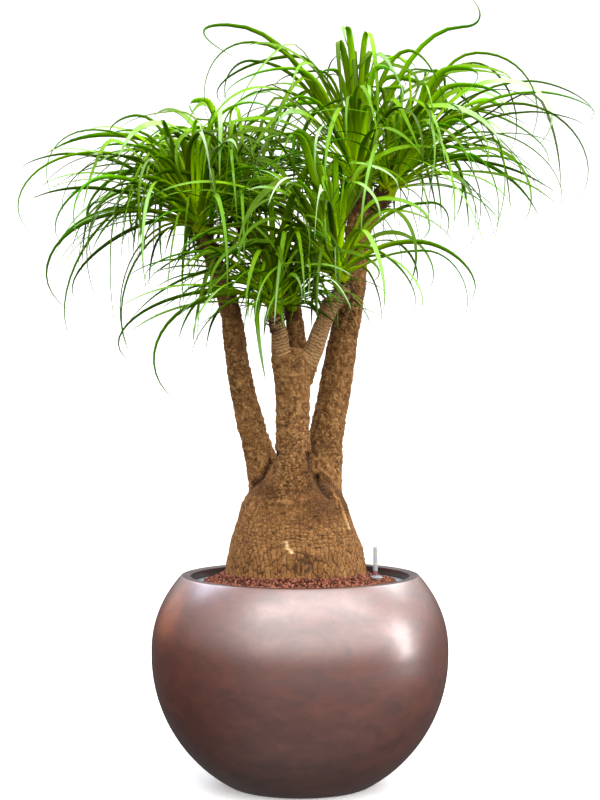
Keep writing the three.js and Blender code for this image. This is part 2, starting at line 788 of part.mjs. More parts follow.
/**
 * Grows every head: leading blades first, then the spirals. Each blade is turned until it is clear of the other
 * heads and, where a try allows it, of the free parts of its own head's blades.
 */
function growHeads(fixedSolids) {
  const grown = {};
  const freeParts = {};
  for (const [name, head] of Object.entries(HEADS)) {
    grown[name] = [withBox(coreSolid(head))];
    freeParts[name] = [];
  }
  const fixed = fixedSolids.map(withBox);
  const place = (name, blade) => {
    const others = [...fixed, ...Object.keys(grown).flatMap((other) => (other === name ? [] : grown[other]))];
    let fallback;
    for (let attempt = 0; attempt < TRIES; attempt++) {
      const tried = attempt ? turnedBlade(HEADS[name], blade, attempt) : blade;
      const item = withBox(bladeSolid(tried));
      if (!isClear(item, others)) continue;
      const freePart = withBox(bladeSolid(tried, true));
      fallback ??= { item, freePart };
      if (isClear(freePart, freeParts[name])) {
        fallback = { item, freePart };
        break;
      }
    }
    if (fallback) {
      grown[name].push(fallback.item);
      freeParts[name].push(fallback.freePart);
    }
  };
  for (const [number, name] of Object.keys(HEADS).entries()) {
    (LEADING_BLADES[name] ?? []).forEach((row, i) =>
      place(name, leadingBlade(HEADS[name], row, randomStream(9000 + 100 * number + i))),
    );
  }
  const most = Math.max(...Object.values(HEADS).map((head) => head.leaves));
  for (let i = 0; i < most; i++) {
    for (const [number, name] of Object.keys(HEADS).entries()) {
      if (i < HEADS[name].leaves) {
        place(name, spiralBlade(HEADS[name], i, randomStream(1000 * (number + 1) + i)));
      }
    }
  }
  return grown;
}

// ---------------------------------------------------------------- the part
const trunk = trunkSolid();
const planter = planterSolid();
const liner = linerSolid();
const gaugeTube = gaugeTubeSolid();
const heads = growHeads([trunk]);

addPiece("planter", lacquer, planter);
addPiece("liner", insertPlastic, liner);
addPiece("substrate", clay, bedSolid(caudexSolid(CLEARANCE + 0.1), gaugeHollow()));
addPiece("trunk", bark, trunk);
addPiece("gauge_tube", clearPlastic, gaugeTube);
addPiece("gauge_float", redPlastic, gaugeFloatSolid());
for (const [name, items] of Object.entries(heads)) {
  addPiece(name, leaf, Manifold.union(items.map((item) => item.solid)));
}

export default group;
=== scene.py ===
"""A ponytail palm in a ball planter: its lacquer, clay granules, water gauge, bark and strap leaves.

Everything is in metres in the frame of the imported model: +Z up, +X to the right, +Y to the back, with the
origin at the centre of the planter's base. Sizes written in millimetres are turned to metres by MM.
"""

from __future__ import annotations

import logging
import math
from collections.abc import Callable, Sequence
from dataclasses import dataclass, field
from enum import Enum
from functools import partial

import bmesh
import bpy
import numpy as np
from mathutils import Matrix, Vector

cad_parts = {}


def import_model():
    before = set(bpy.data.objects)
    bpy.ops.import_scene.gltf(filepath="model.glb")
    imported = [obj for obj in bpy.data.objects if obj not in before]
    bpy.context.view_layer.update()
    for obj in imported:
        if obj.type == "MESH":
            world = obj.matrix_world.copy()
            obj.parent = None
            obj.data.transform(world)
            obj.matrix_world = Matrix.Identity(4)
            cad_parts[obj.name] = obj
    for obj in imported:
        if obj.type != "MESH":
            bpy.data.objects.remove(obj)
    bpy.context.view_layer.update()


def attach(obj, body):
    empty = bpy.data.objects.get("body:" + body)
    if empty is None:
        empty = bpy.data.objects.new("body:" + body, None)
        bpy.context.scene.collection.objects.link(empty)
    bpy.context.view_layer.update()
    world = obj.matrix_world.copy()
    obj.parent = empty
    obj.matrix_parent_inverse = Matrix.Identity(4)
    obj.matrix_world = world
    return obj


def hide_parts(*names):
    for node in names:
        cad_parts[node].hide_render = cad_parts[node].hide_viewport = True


LOG = logging.getLogger("ponytail_palm")
MM = 0.001
PLANT_BODY = "plant"
FLOAT_BODY = "float"
UP = np.array([0.0, 0.0, 1.0])
GOLDEN_ANGLE = math.radians(137.508)


class Slot(Enum):
    """The material slots' names."""

    LACQUER = "planter_lacquer"
    INSERT = "liner_plastic"
    CLAY = "clay_granules"
    BARK = "bark"
    CLEAR = "gauge_clear"
    RED = "gauge_red"
    LEAF = "leaf"


# ---------------------------------------------------------------- numbers and meshes


def linear(hex_colour: str) -> tuple[float, float, float, float]:
    """Turns an sRGB hex colour to linear.

    Args:
        hex_colour: six hex digits after a #.

    Returns:
        Linear red, green and blue, and an alpha of 1.
    """
    parts = [int(hex_colour[i : i + 2], 16) / 255 for i in (1, 3, 5)]
    turned = [c / 12.92 if c <= 0.04045 else ((c + 0.055) / 1.055) ** 2.4 for c in parts]
    return (turned[0], turned[1], turned[2], 1.0)


def unit(vector: np.ndarray) -> np.ndarray:
    """Scales vectors to length 1.

    Args:
        vector: one vector, or an array of them.

    Returns:
        The same directions at length 1.
    """
    return vector / np.maximum(np.linalg.norm(vector, axis=-1, keepdims=True), 1e-12)


def towards(angle: float) -> np.ndarray:
    """Returns the level direction at an angle in radians from +X."""
    return np.array([math.cos(angle), math.sin(angle), 0.0])


class RandomStream:
    """A repeatable stream of numbers between 0 and 1, the same one that places the solids' blades."""

    MASK = 0xFFFFFFFF

    def __init__(self, seed: int) -> None:
        """Starts the stream at a seed."""
        self.state = seed & self.MASK

    def draw(self) -> float:
        """Returns the next number."""
        self.state = (self.state + 0x6D2B79F5) & self.MASK
        t = ((self.state ^ (self.state >> 15)) * (self.state | 1)) & self.MASK
        t ^= (t + (((t ^ (t >> 7)) * (t | 61)) & self.MASK)) & self.MASK
        return ((t ^ (t >> 14)) & self.MASK) / (self.MASK + 1)

    def swing(self, width: float) -> float:
        """Returns the next number spread evenly about 0 over a width."""
        return (self.draw() - 0.5) * width


class LatticeNoise:
    """Smooth random values over space, for shapes that are worked out on many points at once."""

    def __init__(self, seed: int) -> None:
        """Draws the lattice's table of values."""
        rng = np.random.default_rng(seed)
        self.values = rng.random(4096)
        self.order = rng.permutation(4096)

    def lattice(self, cell: np.ndarray) -> np.ndarray:
        """Returns the value at whole-number points, given as an array of x, y, z."""
        index = self.order[cell[:, 0] & 4095]
        index = self.order[(index + cell[:, 1]) & 4095]
        return self.values[(index * 31 + cell[:, 2] * 17 + index) & 4095]

    def smooth(self, points: np.ndarray) -> np.ndarray:
        """Interpolates the lattice.

        Args:
            points: x, y, z in cells.

        Returns:
            A value from 0 to 1 for each point.
        """
        cell = np.floor(points).astype(np.int64)
        part = points - cell
        part = part * part * (3 - 2 * part)
        total = np.zeros(len(points))
        for corner in range(8):
            step = np.array([corner & 1, corner >> 1 & 1, corner >> 2 & 1])
            weight = np.prod(np.where(step == 1, part, 1 - part), axis=1)
            total += weight * self.lattice(cell + step)
        return total

    def fractal(self, points: np.ndarray, octaves: int = 3) -> np.ndarray:
        """Sums octaves of the noise, each twice as fine and half as strong.

        Args:
            points: x, y, z in cells of the coarsest octave.
            octaves: how many are summed.

        Returns:
            A value from 0 to 1 for each point.
        """
        total = np.zeros(len(points))
        weight = 0.0
        for octave in range(octaves):
            share = 0.5**octave
            total += share * self.smooth(points * 2**octave + 19.7 * octave)
            weight += share
        return total / weight

    def cells(self, points: np.ndarray, shake: float) -> tuple[np.ndarray, np.ndarray]:
        """Divides space into uneven cells, each round its own shaken centre.

        Args:
            points: x, y, z in cells.
            shake: how far the centres are off an even grid, up to 1 cell.

        Returns:
            For each point how far it is from its cell's edge, 0 there to about 1, and the cell's own value.
        """
        cell = np.floor(points).astype(np.int64)
        first = np.full(len(points), 9.0)
        second = first.copy()
        value = np.zeros(len(points))
        for i, j, k in np.ndindex(3, 3, 3):
            corner = cell + np.array([i - 1, j - 1, k - 1])
            off = np.stack([self.lattice(corner + offset) for offset in (71, 137, 211)], axis=1) - 0.5
            away = np.linalg.norm(points - corner - 0.5 - shake * off, axis=1)
            nearer = away < first
            second = np.where(nearer, first, np.minimum(second, away))
            value = np.where(nearer, self.lattice(corner + 307), value)
            first = np.minimum(first, away)
        return second - first, value


def add_object(name: str, data: bpy.types.ID) -> bpy.types.Object:
    """Puts data into the scene.

    Args:
        name: the new object's name.
        data: a mesh, a light or a camera.

    Returns:
        The object.
    """
    added = bpy.data.objects.new(name, data)
    bpy.context.scene.collection.objects.link(added)
    return added


@dataclass
class MeshParts:
    """Points and faces that are gathered into one mesh."""

    points: list[np.ndarray] = field(default_factory=list)
    faces: list[np.ndarray] = field(default_factory=list)
    face_finishes: list[np.ndarray] = field(default_factory=list)
    tints: list[np.ndarray] = field(default_factory=list)
    count: int = 0

    def add(
        self, points: np.ndarray, faces: Sequence[np.ndarray], tint: np.ndarray | None = None,
        finishes: Sequence[np.ndarray] = (),
    ) -> None:
        """Adds points and faces.

        Args:
            points: x, y, z rows in metres.
            faces: arrays of point numbers, one row a face, each array with one number of corners.
            tint: four numbers a point for the finish to read, if it needs them.
            finishes: for each array of faces, the place of each face's finish in the piece's list.
        """
        self.faces += [rows + self.count for rows in faces]
        self.face_finishes += finishes or [np.zeros(len(rows), dtype=np.int32) for rows in faces]
        self.points.append(points)
        self.tints.append(np.zeros((len(points), 4)) if tint is None else tint)
        self.count += len(points)

    def build(self, name: str) -> bpy.types.Object:
        """Makes the mesh object and links it to the scene.

        Args:
            name: the piece's name.

        Returns:
            The new object, shaded smooth, with its tint attribute.
        """
        mesh = bpy.data.meshes.new(name)
        points = np.concatenate(self.points)
        corners = np.concatenate([rows.ravel() for rows in self.faces])
        counts = np.concatenate([np.full(len(rows), rows.shape[1]) for rows in self.faces])
        mesh.vertices.add(len(points))
        mesh.vertices.foreach_set("co", points.astype(np.float32).ravel())
        mesh.loops.add(len(corners))
        mesh.loops.foreach_set("vertex_index", corners.astype(np.int32))
        mesh.polygons.add(len(counts))
        mesh.polygons.foreach_set("loop_start", (np.cumsum(counts) - counts).astype(np.int32))
        mesh.polygons.foreach_set("material_index", np.concatenate(self.face_finishes).astype(np.int32))
        mesh.update(calc_edges=True)
        tint = mesh.attributes.new("tint", "FLOAT_COLOR", "POINT")
        tint.data.foreach_set("color", np.concatenate(self.tints).astype(np.float32).ravel())
        mesh.validate()
        mesh.shade_smooth()
        return add_object(name, mesh)


def ring_faces(rows: int, steps: int, closed: bool = False) -> np.ndarray:
    """Joins rings of points that are stored one after another.

    Args:
        rows: how many rings there are.
        steps: how many points each has.
        closed: whether the last ring joins the first.

    Returns:
        Four point numbers a face.
    """
    near = np.arange(steps)
    far = (near + 1) % steps
    start = np.arange(rows if closed else rows - 1)[:, None] * steps
    after = (start + steps) % (rows * steps)
    return np.stack([start + near, start + far, after + far, after + near], axis=-1).reshape(-1, 4)


def merge_axis_points(piece: bpy.types.Object, distance: float = 1e-5) -> None:
    """Joins the points of a turned piece that fell together on its axis.

    Args:
        piece: the object whose mesh is cleaned.
        distance: how near two points count as one, in metres.
    """
    work = bmesh.new()
    work.from_mesh(piece.data)
    bmesh.ops.remove_doubles(work, verts=work.verts, dist=distance)
    bmesh.ops.recalc_face_normals(work, faces=work.faces)
    work.to_mesh(piece.data)
    work.free()


def turned_piece(
    name: str, outline: Sequence[tuple[float, float]], steps: int, centre: tuple[float, float] = (0.0, 0.0)
) -> bpy.types.Object:
    """Turns an outline about an upright axis.

    Args:
        name: the piece's name.
        outline: radius and height pairs in metres, from the axis back to it, or closed on itself.
        steps: facets round the axis.
        centre: the axis's x and y.

    Returns:
        The turned piece.
    """
    closed = outline[0] == outline[-1]
    radii, heights = np.array(outline[:-1] if closed else outline).T[:, :, None]
    angles = 2 * math.pi * np.arange(steps) / steps
    x, y = centre[0] + radii * np.cos(angles), centre[1] + radii * np.sin(angles)
    points = np.stack([x, y, heights + 0 * x], axis=-1).reshape(-1, 3)
    parts = MeshParts()
    parts.add(points, [ring_faces(len(radii), steps, closed)])
    piece = parts.build(name)
    merge_axis_points(piece)
    return piece


def arc(
    centre: tuple[float, float], radius: float, start: float, end: float, steps: int
) -> list[tuple[float, float]]:
    """Points on an arc of an outline.

    Args:
        centre: the arc's radius and height in the outline's plane.
        radius: the arc's own radius.
        start: first angle in degrees, 0 outwards and 90 up.
        end: last angle.
        steps: how many pieces it is drawn in.

    Returns:
        Its points, both ends included.
    """
    angles = [math.radians(start + (end - start) * i / steps) for i in range(steps + 1)]
    return [(centre[0] + radius * math.cos(a), centre[1] + radius * math.sin(a)) for a in angles]


# ---------------------------------------------------------------- finishes


AddNode = Callable[..., bpy.types.Node]
# The places of a Mix node's inputs: its share, its two numbers and its two colours.
SHARE, NUMBER_A, NUMBER_B, COLOUR_A, COLOUR_B = 0, 2, 3, 6, 7


def add_node(
    tree: bpy.types.NodeTree, kind: str, values: dict[str | int, object] | None = None,
    stops: Sequence[tuple[float, str]] = (), **settings: object,
) -> bpy.types.Node:
    """Adds a node with its settings and links.

    Args:
        tree: the material's or world's node tree.
        kind: the node's type, without the prefix that all of them share.
        values: by input name or place, a number, a colour, another node's output, or another node, which is
            then linked from its main output.
        stops: for a colour ramp, its places and hex colours in order.
        **settings: the node's own properties.

    Returns:
        The new node.
    """
    node = tree.nodes.new(f"ShaderNode{kind}")
    for name, value in settings.items():
        setattr(node, name, value)
    for key, value in (values or {}).items():
        if isinstance(value, bpy.types.Node):
            value = next(output for output in value.outputs if output.enabled)
        if isinstance(value, bpy.types.NodeSocket):
            tree.links.new(value, node.inputs[key])
        else:
            node.inputs[key].default_value = value
    if stops:
        ramp = node.color_ramp.elements
        ramp[0].position, ramp[-1].position = stops[0][0], stops[-1][0]
        for place, _ in stops[1:-1]:
            ramp.new(place)
        for element, (_, colour) in zip(ramp, stops):
            element.color = linear(colour)
    return node


def per_metre(millimetres: float) -> float:
    """Returns how many pattern cells of a size in millimetres fit in a metre."""
    return 1 / (millimetres * MM)


class Finish:
    """What all finishes share: one principled shader in a material of its own."""

    name: str

    def shader(self, node: AddNode) -> dict[str, object]:
        """Adds the pattern's nodes.

        Args:
            node: adds a node to the material's tree.

        Returns:
            The principled shader's values by input name.
        """
        raise NotImplementedError

    def build(self) -> bpy.types.Material:
        """Returns the material."""
        material = bpy.data.materials.new(self.name)
        material.use_nodes = True
        material.node_tree.nodes.clear()
        node = partial(add_node, material.node_tree)
        node("OutputMaterial", {"Surface": node("BsdfPrincipled", self.shader(node))})
        return material


@dataclass(frozen=True)
class MetalLeafLacquer(Finish):
    """Bronze metal leaf rubbed down under satin lacquer.

    The leaf gives soft brown clouds as wide as a rubbing hand and dark hairlines where its folds wrinkled.
    The lacquer over it gives a broad, nearly colourless sheen towards the light. The rubbing's own grain,
    under 0.5 mm, is too fine to show and is drawn at 2.2 mm.
    """

    name: str = "bronze_metal_leaf_lacquer"
    dark: str = "#552C23"
    middle: str = "#6C3A2E"
    pale: str = "#804B3C"
    line: str = "#3A211C"
    cloud_mm: float = 52.0
    hairline_mm: float = 17.0
    rub_mm: float = 2.2
    roughness: float = 0.36
    metallic: float = 0.1
    ior: float = 2.3
    coat: float = 1.0

    def shader(self, node: AddNode) -> dict[str, object]:
        """Returns the shader's values: clouds, hairlines and rubbing under the coat."""
        cells = per_metre(self.hairline_mm)
        place = node("TexCoord").outputs["Object"]
        flat = node("VectorMath", {0: place, 1: (1.0, 1.0, 1.8)}, operation="MULTIPLY")
        cloud = node("TexNoise", {
            "Vector": flat, "Scale": per_metre(self.cloud_mm), "Detail": 6.0, "Roughness": 0.62,
            "Distortion": 0.5,
        })
        drift = node("TexNoise", {"Vector": place, "Scale": cells, "Detail": 3.0, "Roughness": 0.6})
        shift = (self.hairline_mm * MM * 1.3,) * 3
        moved = node("VectorMath", {0: drift.outputs["Color"], 1: shift}, operation="MULTIPLY")
        bent = node("VectorMath", {0: flat, 1: moved})
        wrinkle = node(
            "TexVoronoi", {"Vector": bent, "Scale": cells, "Randomness": 1.0}, feature="DISTANCE_TO_EDGE"
        )
        thin = node(
            "MapRange", {"Value": wrinkle, "From Max": 0.035, "To Min": 1.0, "To Max": 0.0},
            interpolation_type="SMOOTHSTEP",
        )
        broken = node("MapRange", {"Value": drift, "From Min": 0.5, "From Max": 0.66, "To Max": 0.75})
        hairline = node("Math", {0: thin, 1: broken}, operation="MULTIPLY")
        rubbed = node("TexNoise", {
            "Vector": flat, "Scale": per_metre(self.rub_mm), "Detail": 3.0, "Roughness": 0.75,
        })
        tone = node("Math", {0: rubbed, 1: 0.3, 2: cloud}, operation="MULTIPLY_ADD")
        colour = node("ValToRGB", {"Fac": tone}, [(0.46, self.dark), (0.66, self.middle), (0.9, self.pale)])
        rough = node("MapRange", {
            "Value": tone, "From Min": 0.45, "From Max": 0.9,
            "To Min": self.roughness + 0.1, "To Max": self.roughness - 0.05,
        })
        relief = node("Math", {0: hairline, 1: -0.6, 2: rubbed}, operation="MULTIPLY_ADD")
        lined = {SHARE: hairline, COLOUR_A: colour, COLOUR_B: linear(self.line)}
        return {
            "Base Color": node("Mix", lined, data_type="RGBA"),
            "Metallic": self.metallic, "Roughness": rough, "IOR": self.ior,
            "Normal": node("Bump", {"Strength": 0.12, "Distance": 0.0006, "Height": relief}),
            "Coat Weight": self.coat, "Coat Roughness": 0.26,
        }


@dataclass(frozen=True)
class MouldedPolypropylene(Finish):
    """Blue-grey polypropylene from a mould: an even matt skin with the faintest grain, a little dusty.

    The mould's grain of about 0.1 mm is too fine to show, so it is drawn at 0.8 mm.
    """

    name: str = "moulded_polypropylene"
    colour: str = "#7C8C99"
    dusty: str = "#9BA3A6"
    dust_mm: float = 22.0
    grain_mm: float = 0.8
    roughness: float = 0.5

    def shader(self, node: AddNode) -> dict[str, object]:
        """Returns the shader's values: dust over a fine grain."""
        place = node("TexCoord").outputs["Object"]
        dust = node("TexNoise", {
            "Vector": place, "Scale": per_metre(self.dust_mm), "Detail": 6.0, "Roughness": 0.7,
        })
        grain = node("TexNoise", {"Vector": place, "Scale": per_metre(self.grain_mm)})
        return {
            "Base Color": node("ValToRGB", {"Fac": dust}, [(0.42, self.colour), (0.8, self.dusty)]),
            "Roughness": self.roughness,
            "Normal": node("Bump", {"Strength": 0.15, "Distance": 0.0002, "Height": grain}),
        }


@dataclass(frozen=True)
class FiredClay(Finish):
    """Fired expanded clay: open matt granules, each its own red-brown.

    Its pores are 0.1 to 0.5 mm wide and are drawn at 0.7 mm, so that they break up the light as real ones do.
    """

    name: str = "fired_expanded_clay"
    dark: str = "#31170F"
    middle: str = "#673728"
    pale: str = "#A56952"
    pore_mm: float = 0.7

    def shader(self, node: AddNode) -> dict[str, object]:
        """Returns the shader's values: the granule's own tone, broken by pores."""
        place = node("TexCoord").outputs["Object"]
        tone = node("SeparateColor", {0: node("VertexColor", layer_name="tint")})
        pores = node("TexNoise", {
            "Vector": place, "Scale": per_metre(self.pore_mm), "Detail": 3.0, "Roughness": 0.65,
        })
        mixed = node("Math", {0: pores, 1: 0.35, 2: tone}, operation="MULTIPLY_ADD")
        hexes = [(0.15, self.dark), (0.6, self.middle), (1.0, self.pale)]
        return {
            "Base Color": node("ValToRGB", {"Fac": mixed}, hexes),
            "Roughness": 0.92, "Specular IOR Level": 0.25,
            "Normal": node("Bump", {"Strength": 0.7, "Distance": 0.0005, "Height": pores}),
        }


@dataclass(frozen=True)
class CorkyBark(Finish):
    """Corky bark: golden brown cork plates with dark cracks between them.

    Pits of 2 mm, fissures 5 mm apart and the young branches' rings every 5.6 mm are the real sizes. The tint
    holds how deep a crack is, with the folds painted dark as shade, the share of the pale leaf rings, the
    distance along a ringed branch in decimetres, and how pale the cork is, with painted shade in it.
    """

    name: str = "corky_bark"
    crack: str = "#26150A"
    shade: str = "#563618"
    cork: str = "#8E6034"
    pale: str = "#C6965C"
    fresh: str = "#EBD3A6"
    ring: str = "#E4BE8A"
    patch_mm: float = 26.0
    pit_mm: float = 2.1
    fissure_mm: float = 5.0
    ring_mm: float = 5.6

    def shader(self, node: AddNode) -> dict[str, object]:
        """Returns the shader's values: patches, pits, fissures and the young branches' rings."""
        place = node("TexCoord").outputs["Object"]
        tint = node("VertexColor", layer_name="tint")
        red, green, blue = node("SeparateColor", {0: tint}).outputs
        patches = node("TexNoise", {
            "Vector": place, "Scale": per_metre(self.patch_mm), "Detail": 4.0, "Roughness": 0.6,
        })
        upright = node("VectorMath", {0: place, 1: (1.0, 1.0, 1.1)}, operation="MULTIPLY")
        pits = node("TexNoise", {
            "Vector": upright, "Scale": per_metre(self.pit_mm), "Detail": 4.0, "Roughness": 0.72,
        })
        moved = node("VectorMath", {0: pits.outputs["Color"], 1: (1.6 * MM,) * 3}, operation="MULTIPLY")
        shaken = node("VectorMath", {0: upright, 1: moved})
        blocks = node(
            "TexVoronoi", {"Vector": shaken, "Scale": per_metre(self.fissure_mm), "Randomness": 0.9},
            feature="DISTANCE_TO_EDGE",
        )
        fissures = node("MapRange", {"Value": blocks, "From Max": 0.11, "To Min": 0.62, "To Max": 0.0})
        opened = node("MapRange", {"Value": patches, "From Min": 0.36, "From Max": 0.6, "To Min": 0.1})
        gaping = node("Math", {0: fissures, 1: opened}, operation="MULTIPLY")
        # The tint's red also holds the folds, painted dark as the shade in their creases.
        cracks = node("Math", {0: red, 1: gaping}, operation="MAXIMUM")
        jitter = node("Math", {0: pits, 1: 8.0}, operation="MULTIPLY")
        drift = node("Math", {0: patches, 1: 26.0, 2: jitter}, operation="MULTIPLY_ADD")
        rings_per_decimetre = 100 / self.ring_mm
        phase = node(
            "Math", {0: blue, 1: 2 * math.pi * rings_per_decimetre, 2: drift}, operation="MULTIPLY_ADD"
        )
        wave = node("Math", {0: phase}, operation="SINE")
        broken = node("MapRange", {
            "Value": pits, "From Min": 0.38, "From Max": 0.6, "To Min": 0.85, "To Max": 0.0,
        })
        ringed = node("MapRange", {"Value": wave, "From Min": 0.1, "From Max": 1.0, "To Max": broken})
        crack = node("Mix", {SHARE: green, NUMBER_A: cracks, NUMBER_B: ringed})
        # The tint's alpha is the cork's tone with painted shade in it: in the hollow where the stems meet the
        # foot, and under the stems.
        tone_with_shade = node("Math", {0: patches, 1: 0.22, 2: tint.outputs["Alpha"]}, operation="MULTIPLY_ADD")
        tone = node("Math", {0: pits, 1: 1.5, 2: tone_with_shade}, operation="MULTIPLY_ADD")
        cork = node(
            "ValToRGB", {"Fac": node("Math", {0: tone, 1: 0.5}, operation="MULTIPLY")},
            [(0.2, self.crack), (0.38, self.shade), (0.54, self.cork), (0.78, self.pale), (1.0, self.fresh)],
        )
        paler = node("MapRange", {
            "Value": wave, "From Min": 0.1, "From Max": -1.0, "To Min": 0.12, "To Max": 0.5,
        })
        lightened = node("Math", {0: green, 1: paler}, operation="MULTIPLY")
        young = node("Mix", {SHARE: lightened, COLOUR_A: cork, COLOUR_B: linear(self.ring)}, data_type="RGBA")
        darkened = node("Math", {0: crack, 1: 0.88}, operation="MULTIPLY")
        relief = node("Math", {0: crack, 1: -0.7, 2: pits}, operation="MULTIPLY_ADD")
        cracked = {SHARE: darkened, COLOUR_A: young, COLOUR_B: linear(self.crack)}
        return {
            "Base Color": node("Mix", cracked, data_type="RGBA"),
            "Roughness": 0.82, "Specular IOR Level": 0.25,
            "Normal": node("Bump", {"Strength": 0.7, "Distance": 0.002, "Height": relief}),
        }


class LeafSide(Enum):
    """The places of the foliage's finishes: a blade's two faces, and the old dry sheaths."""

    UPPER = 0
    UNDER = 1
    SHEATH = 2


@dataclass(frozen=True)
class StrapLeaf(Finish):
    """A fibrous strap leaf: paler on its upper face than below, with lengthwise veins. Where a blade is lit,
    its green is painted paler and greyer as a painted sheen, most on the upper face.

    The hexes run from the pale yellow-green foot to the tip, which dries to a brown thread. The veins are
    drawn about 0.9 mm apart, twice as far as real ones, so that they can show. The tint holds the place
    along, the place across, the tone with the canopy's painted shade in it, and the age.
    """

    name: str
    foot: str
    young: str
    full: str
    tip: str
    dry: str = "#8A6A3A"
    veins: float = 26.0
    roughness: float = 0.44
    gloss: float = 0.13
    painted_sheen_saturation: float = 0.5

    def shader(self, node: AddNode) -> dict[str, object]:
        """Returns the shader's values: green by place and age, veins, the canopy's painted shade, and a
        painted sheen on the lit blades.
        """
        tint = node("VertexColor", layer_name="tint")
        along, across, lit = node("SeparateColor", {0: tint}).outputs
        old = node("ValToRGB", {"Fac": along}, [
            (0.0, self.foot), (0.2, self.young), (0.44, self.full), (0.94, self.tip), (0.985, self.dry),
            (1.0, self.dry),
        ])
        fresh = node("ValToRGB", {"Fac": along}, [
            (0.0, self.foot), (0.42, self.young), (0.82, self.full), (1.0, self.tip),
        ])
        vein = node(
            "Math", {0: node("Math", {0: across, 1: self.veins * math.pi}, operation="MULTIPLY")},
            operation="SINE",
        )
        # The tint's blue is the blade's tone with the canopy's painted shade in it. It sets the green's
        # brightness and hue, and from 0.42 up a paler, greyer painted sheen.
        tone = node("MapRange", {"Value": lit, "To Min": 0.2, "To Max": 1.8})
        painted_sheen = node("MapRange", {"Value": lit, "From Min": 0.42, "To Min": 1.15, "To Max": self.painted_sheen_saturation})
        grown = node("MapRange", {"Value": along, "From Min": 0.22, "From Max": 0.5})
        by_age = {SHARE: tint.outputs["Alpha"], COLOUR_A: fresh, COLOUR_B: old}
        green = node("HueSaturation", {
            "Hue": node("MapRange", {"Value": lit, "To Min": 0.494, "To Max": 0.514}),
            "Saturation": node("Mix", {SHARE: grown, NUMBER_A: 1.15, NUMBER_B: painted_sheen}),
            "Value": node("Math", {0: vein, 1: 0.08, 2: tone}, operation="MULTIPLY_ADD"),
            "Color": node("Mix", by_age, data_type="RGBA"),
        })
        return {
            "Base Color": green, "Roughness": self.roughness, "Specular IOR Level": self.gloss,
            "Normal": node("Bump", {"Strength": 0.2, "Distance": 0.0002, "Height": vein}),
        }


@dataclass(frozen=True)
class DrySheath(Finish):
    """Dead leaf sheaths: papery and brown, darker at the foot, with fine lengthwise fibres.

    The fibres are about 0.3 mm wide, too fine to show, and are drawn at 1.2 mm.
    """

    name: str = "dry_leaf_sheath"
    dark: str = "#2C1B10"
    pale: str = "#946A40"
    fibre_mm: float = 1.2

    def shader(self, node: AddNode) -> dict[str, object]:
        """Returns the shader's values: fibres drawn out along the sheath, over its tone."""
        place = node("TexCoord").outputs["Object"]
        drawn = node("VectorMath", {0: place, 1: (1.0, 1.0, 0.22)}, operation="MULTIPLY")
        fibres = node("TexNoise", {"Vector": drawn, "Scale": per_metre(self.fibre_mm), "Detail": 4.0})
        # The tint's blue is the sheath's tone with the canopy's painted shade in it.
        tone = node("SeparateColor", {0: node("VertexColor", layer_name="tint")}).outputs["Blue"]
        grey = node("Math", {0: tone, 1: 0.45, 2: fibres}, operation="MULTIPLY_ADD")
        return {
            "Base Color": node("ValToRGB", {"Fac": grey}, [(0.45, self.dark), (0.98, self.pale)]),
            "Roughness": 0.8, "Specular IOR Level": 0.3,
            "Normal": node("Bump", {"Strength": 0.5, "Distance": 0.0005, "Height": fibres}),
        }


@dataclass(frozen=True)
class PlainPlastic(Finish):
    """An even moulded plastic: clear styrene for the gauge's tube, red and yellow for what it shows.

    Handling has scuffed its gloss in spots of some 3 mm.
    """

    name: str
    colour: str
    roughness: float
    transmission: float = 0.0
    ior: float = 1.5
    scuff_mm: float = 3.0

    def shader(self, node: AddNode) -> dict[str, object]:
        """Returns the shader's values: an even colour with scuffs in its gloss."""
        place = node("TexCoord").outputs["Object"]
        scuffs = node("TexNoise", {"Vector": place, "Scale": per_metre(self.scuff_mm), "Detail": 4.0})
        return {
            "Base Color": linear(self.colour),
            "Roughness": node("MapRange", {
                "Value": scuffs, "To Min": self.roughness - 0.06, "To Max": self.roughness + 0.1,
            }),
            "Transmission Weight": self.transmission, "IOR": self.ior,
        }


@dataclass(frozen=True)
class StudioPaper(Finish):
    """Pale background paper: even and matt, bright enough that its horizon melts away.

    The paper's tooth of 0.3 mm is too fine to show, so it is drawn at 4 mm.
    """

    name: str = "studio_paper"
    colour: str = "#F4F3F1"
    glow: float = 0.3
    tooth_mm: float = 4.0

    def shader(self, node: AddNode) -> dict[str, object]:
        """Returns the shader's values: a matt white with a fine tooth and a glow."""
        tooth = node("TexNoise", {
            "Vector": node("TexCoord").outputs["Object"], "Scale": per_metre(self.tooth_mm),
        })
        return {
            "Base Color": linear(self.colour), "Roughness": 0.95, "Specular IOR Level": 0.1,
            "Normal": node("Bump", {"Strength": 0.02, "Distance": 0.0002, "Height": tooth}),
            "Emission Color": linear("#FFFFFF"), "Emission Strength": self.glow,
        }


def dress(
    piece: bpy.types.Object,
    finishes: Sequence[bpy.types.Material],
    body: str = PLANT_BODY,
    replaces: str | None = None,
) -> bpy.types.Object:
    """Gives a piece its finishes and its body, and hides the node that it replaces.

    Args:
        piece: the new object.
        finishes: its materials, in the order that its faces number them.
        body: the body that it rides on.
        replaces: the node that it stands for, if any.

    Returns:
        The piece.
    """
    for finish in finishes:
        piece.data.materials.append(finish)
    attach(piece, body)
    if replaces:
        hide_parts(replaces)
    LOG.info("%s: %d faces", piece.name, len(piece.data.polygons))
    return piece


# ---------------------------------------------------------------- planter, insert, granules


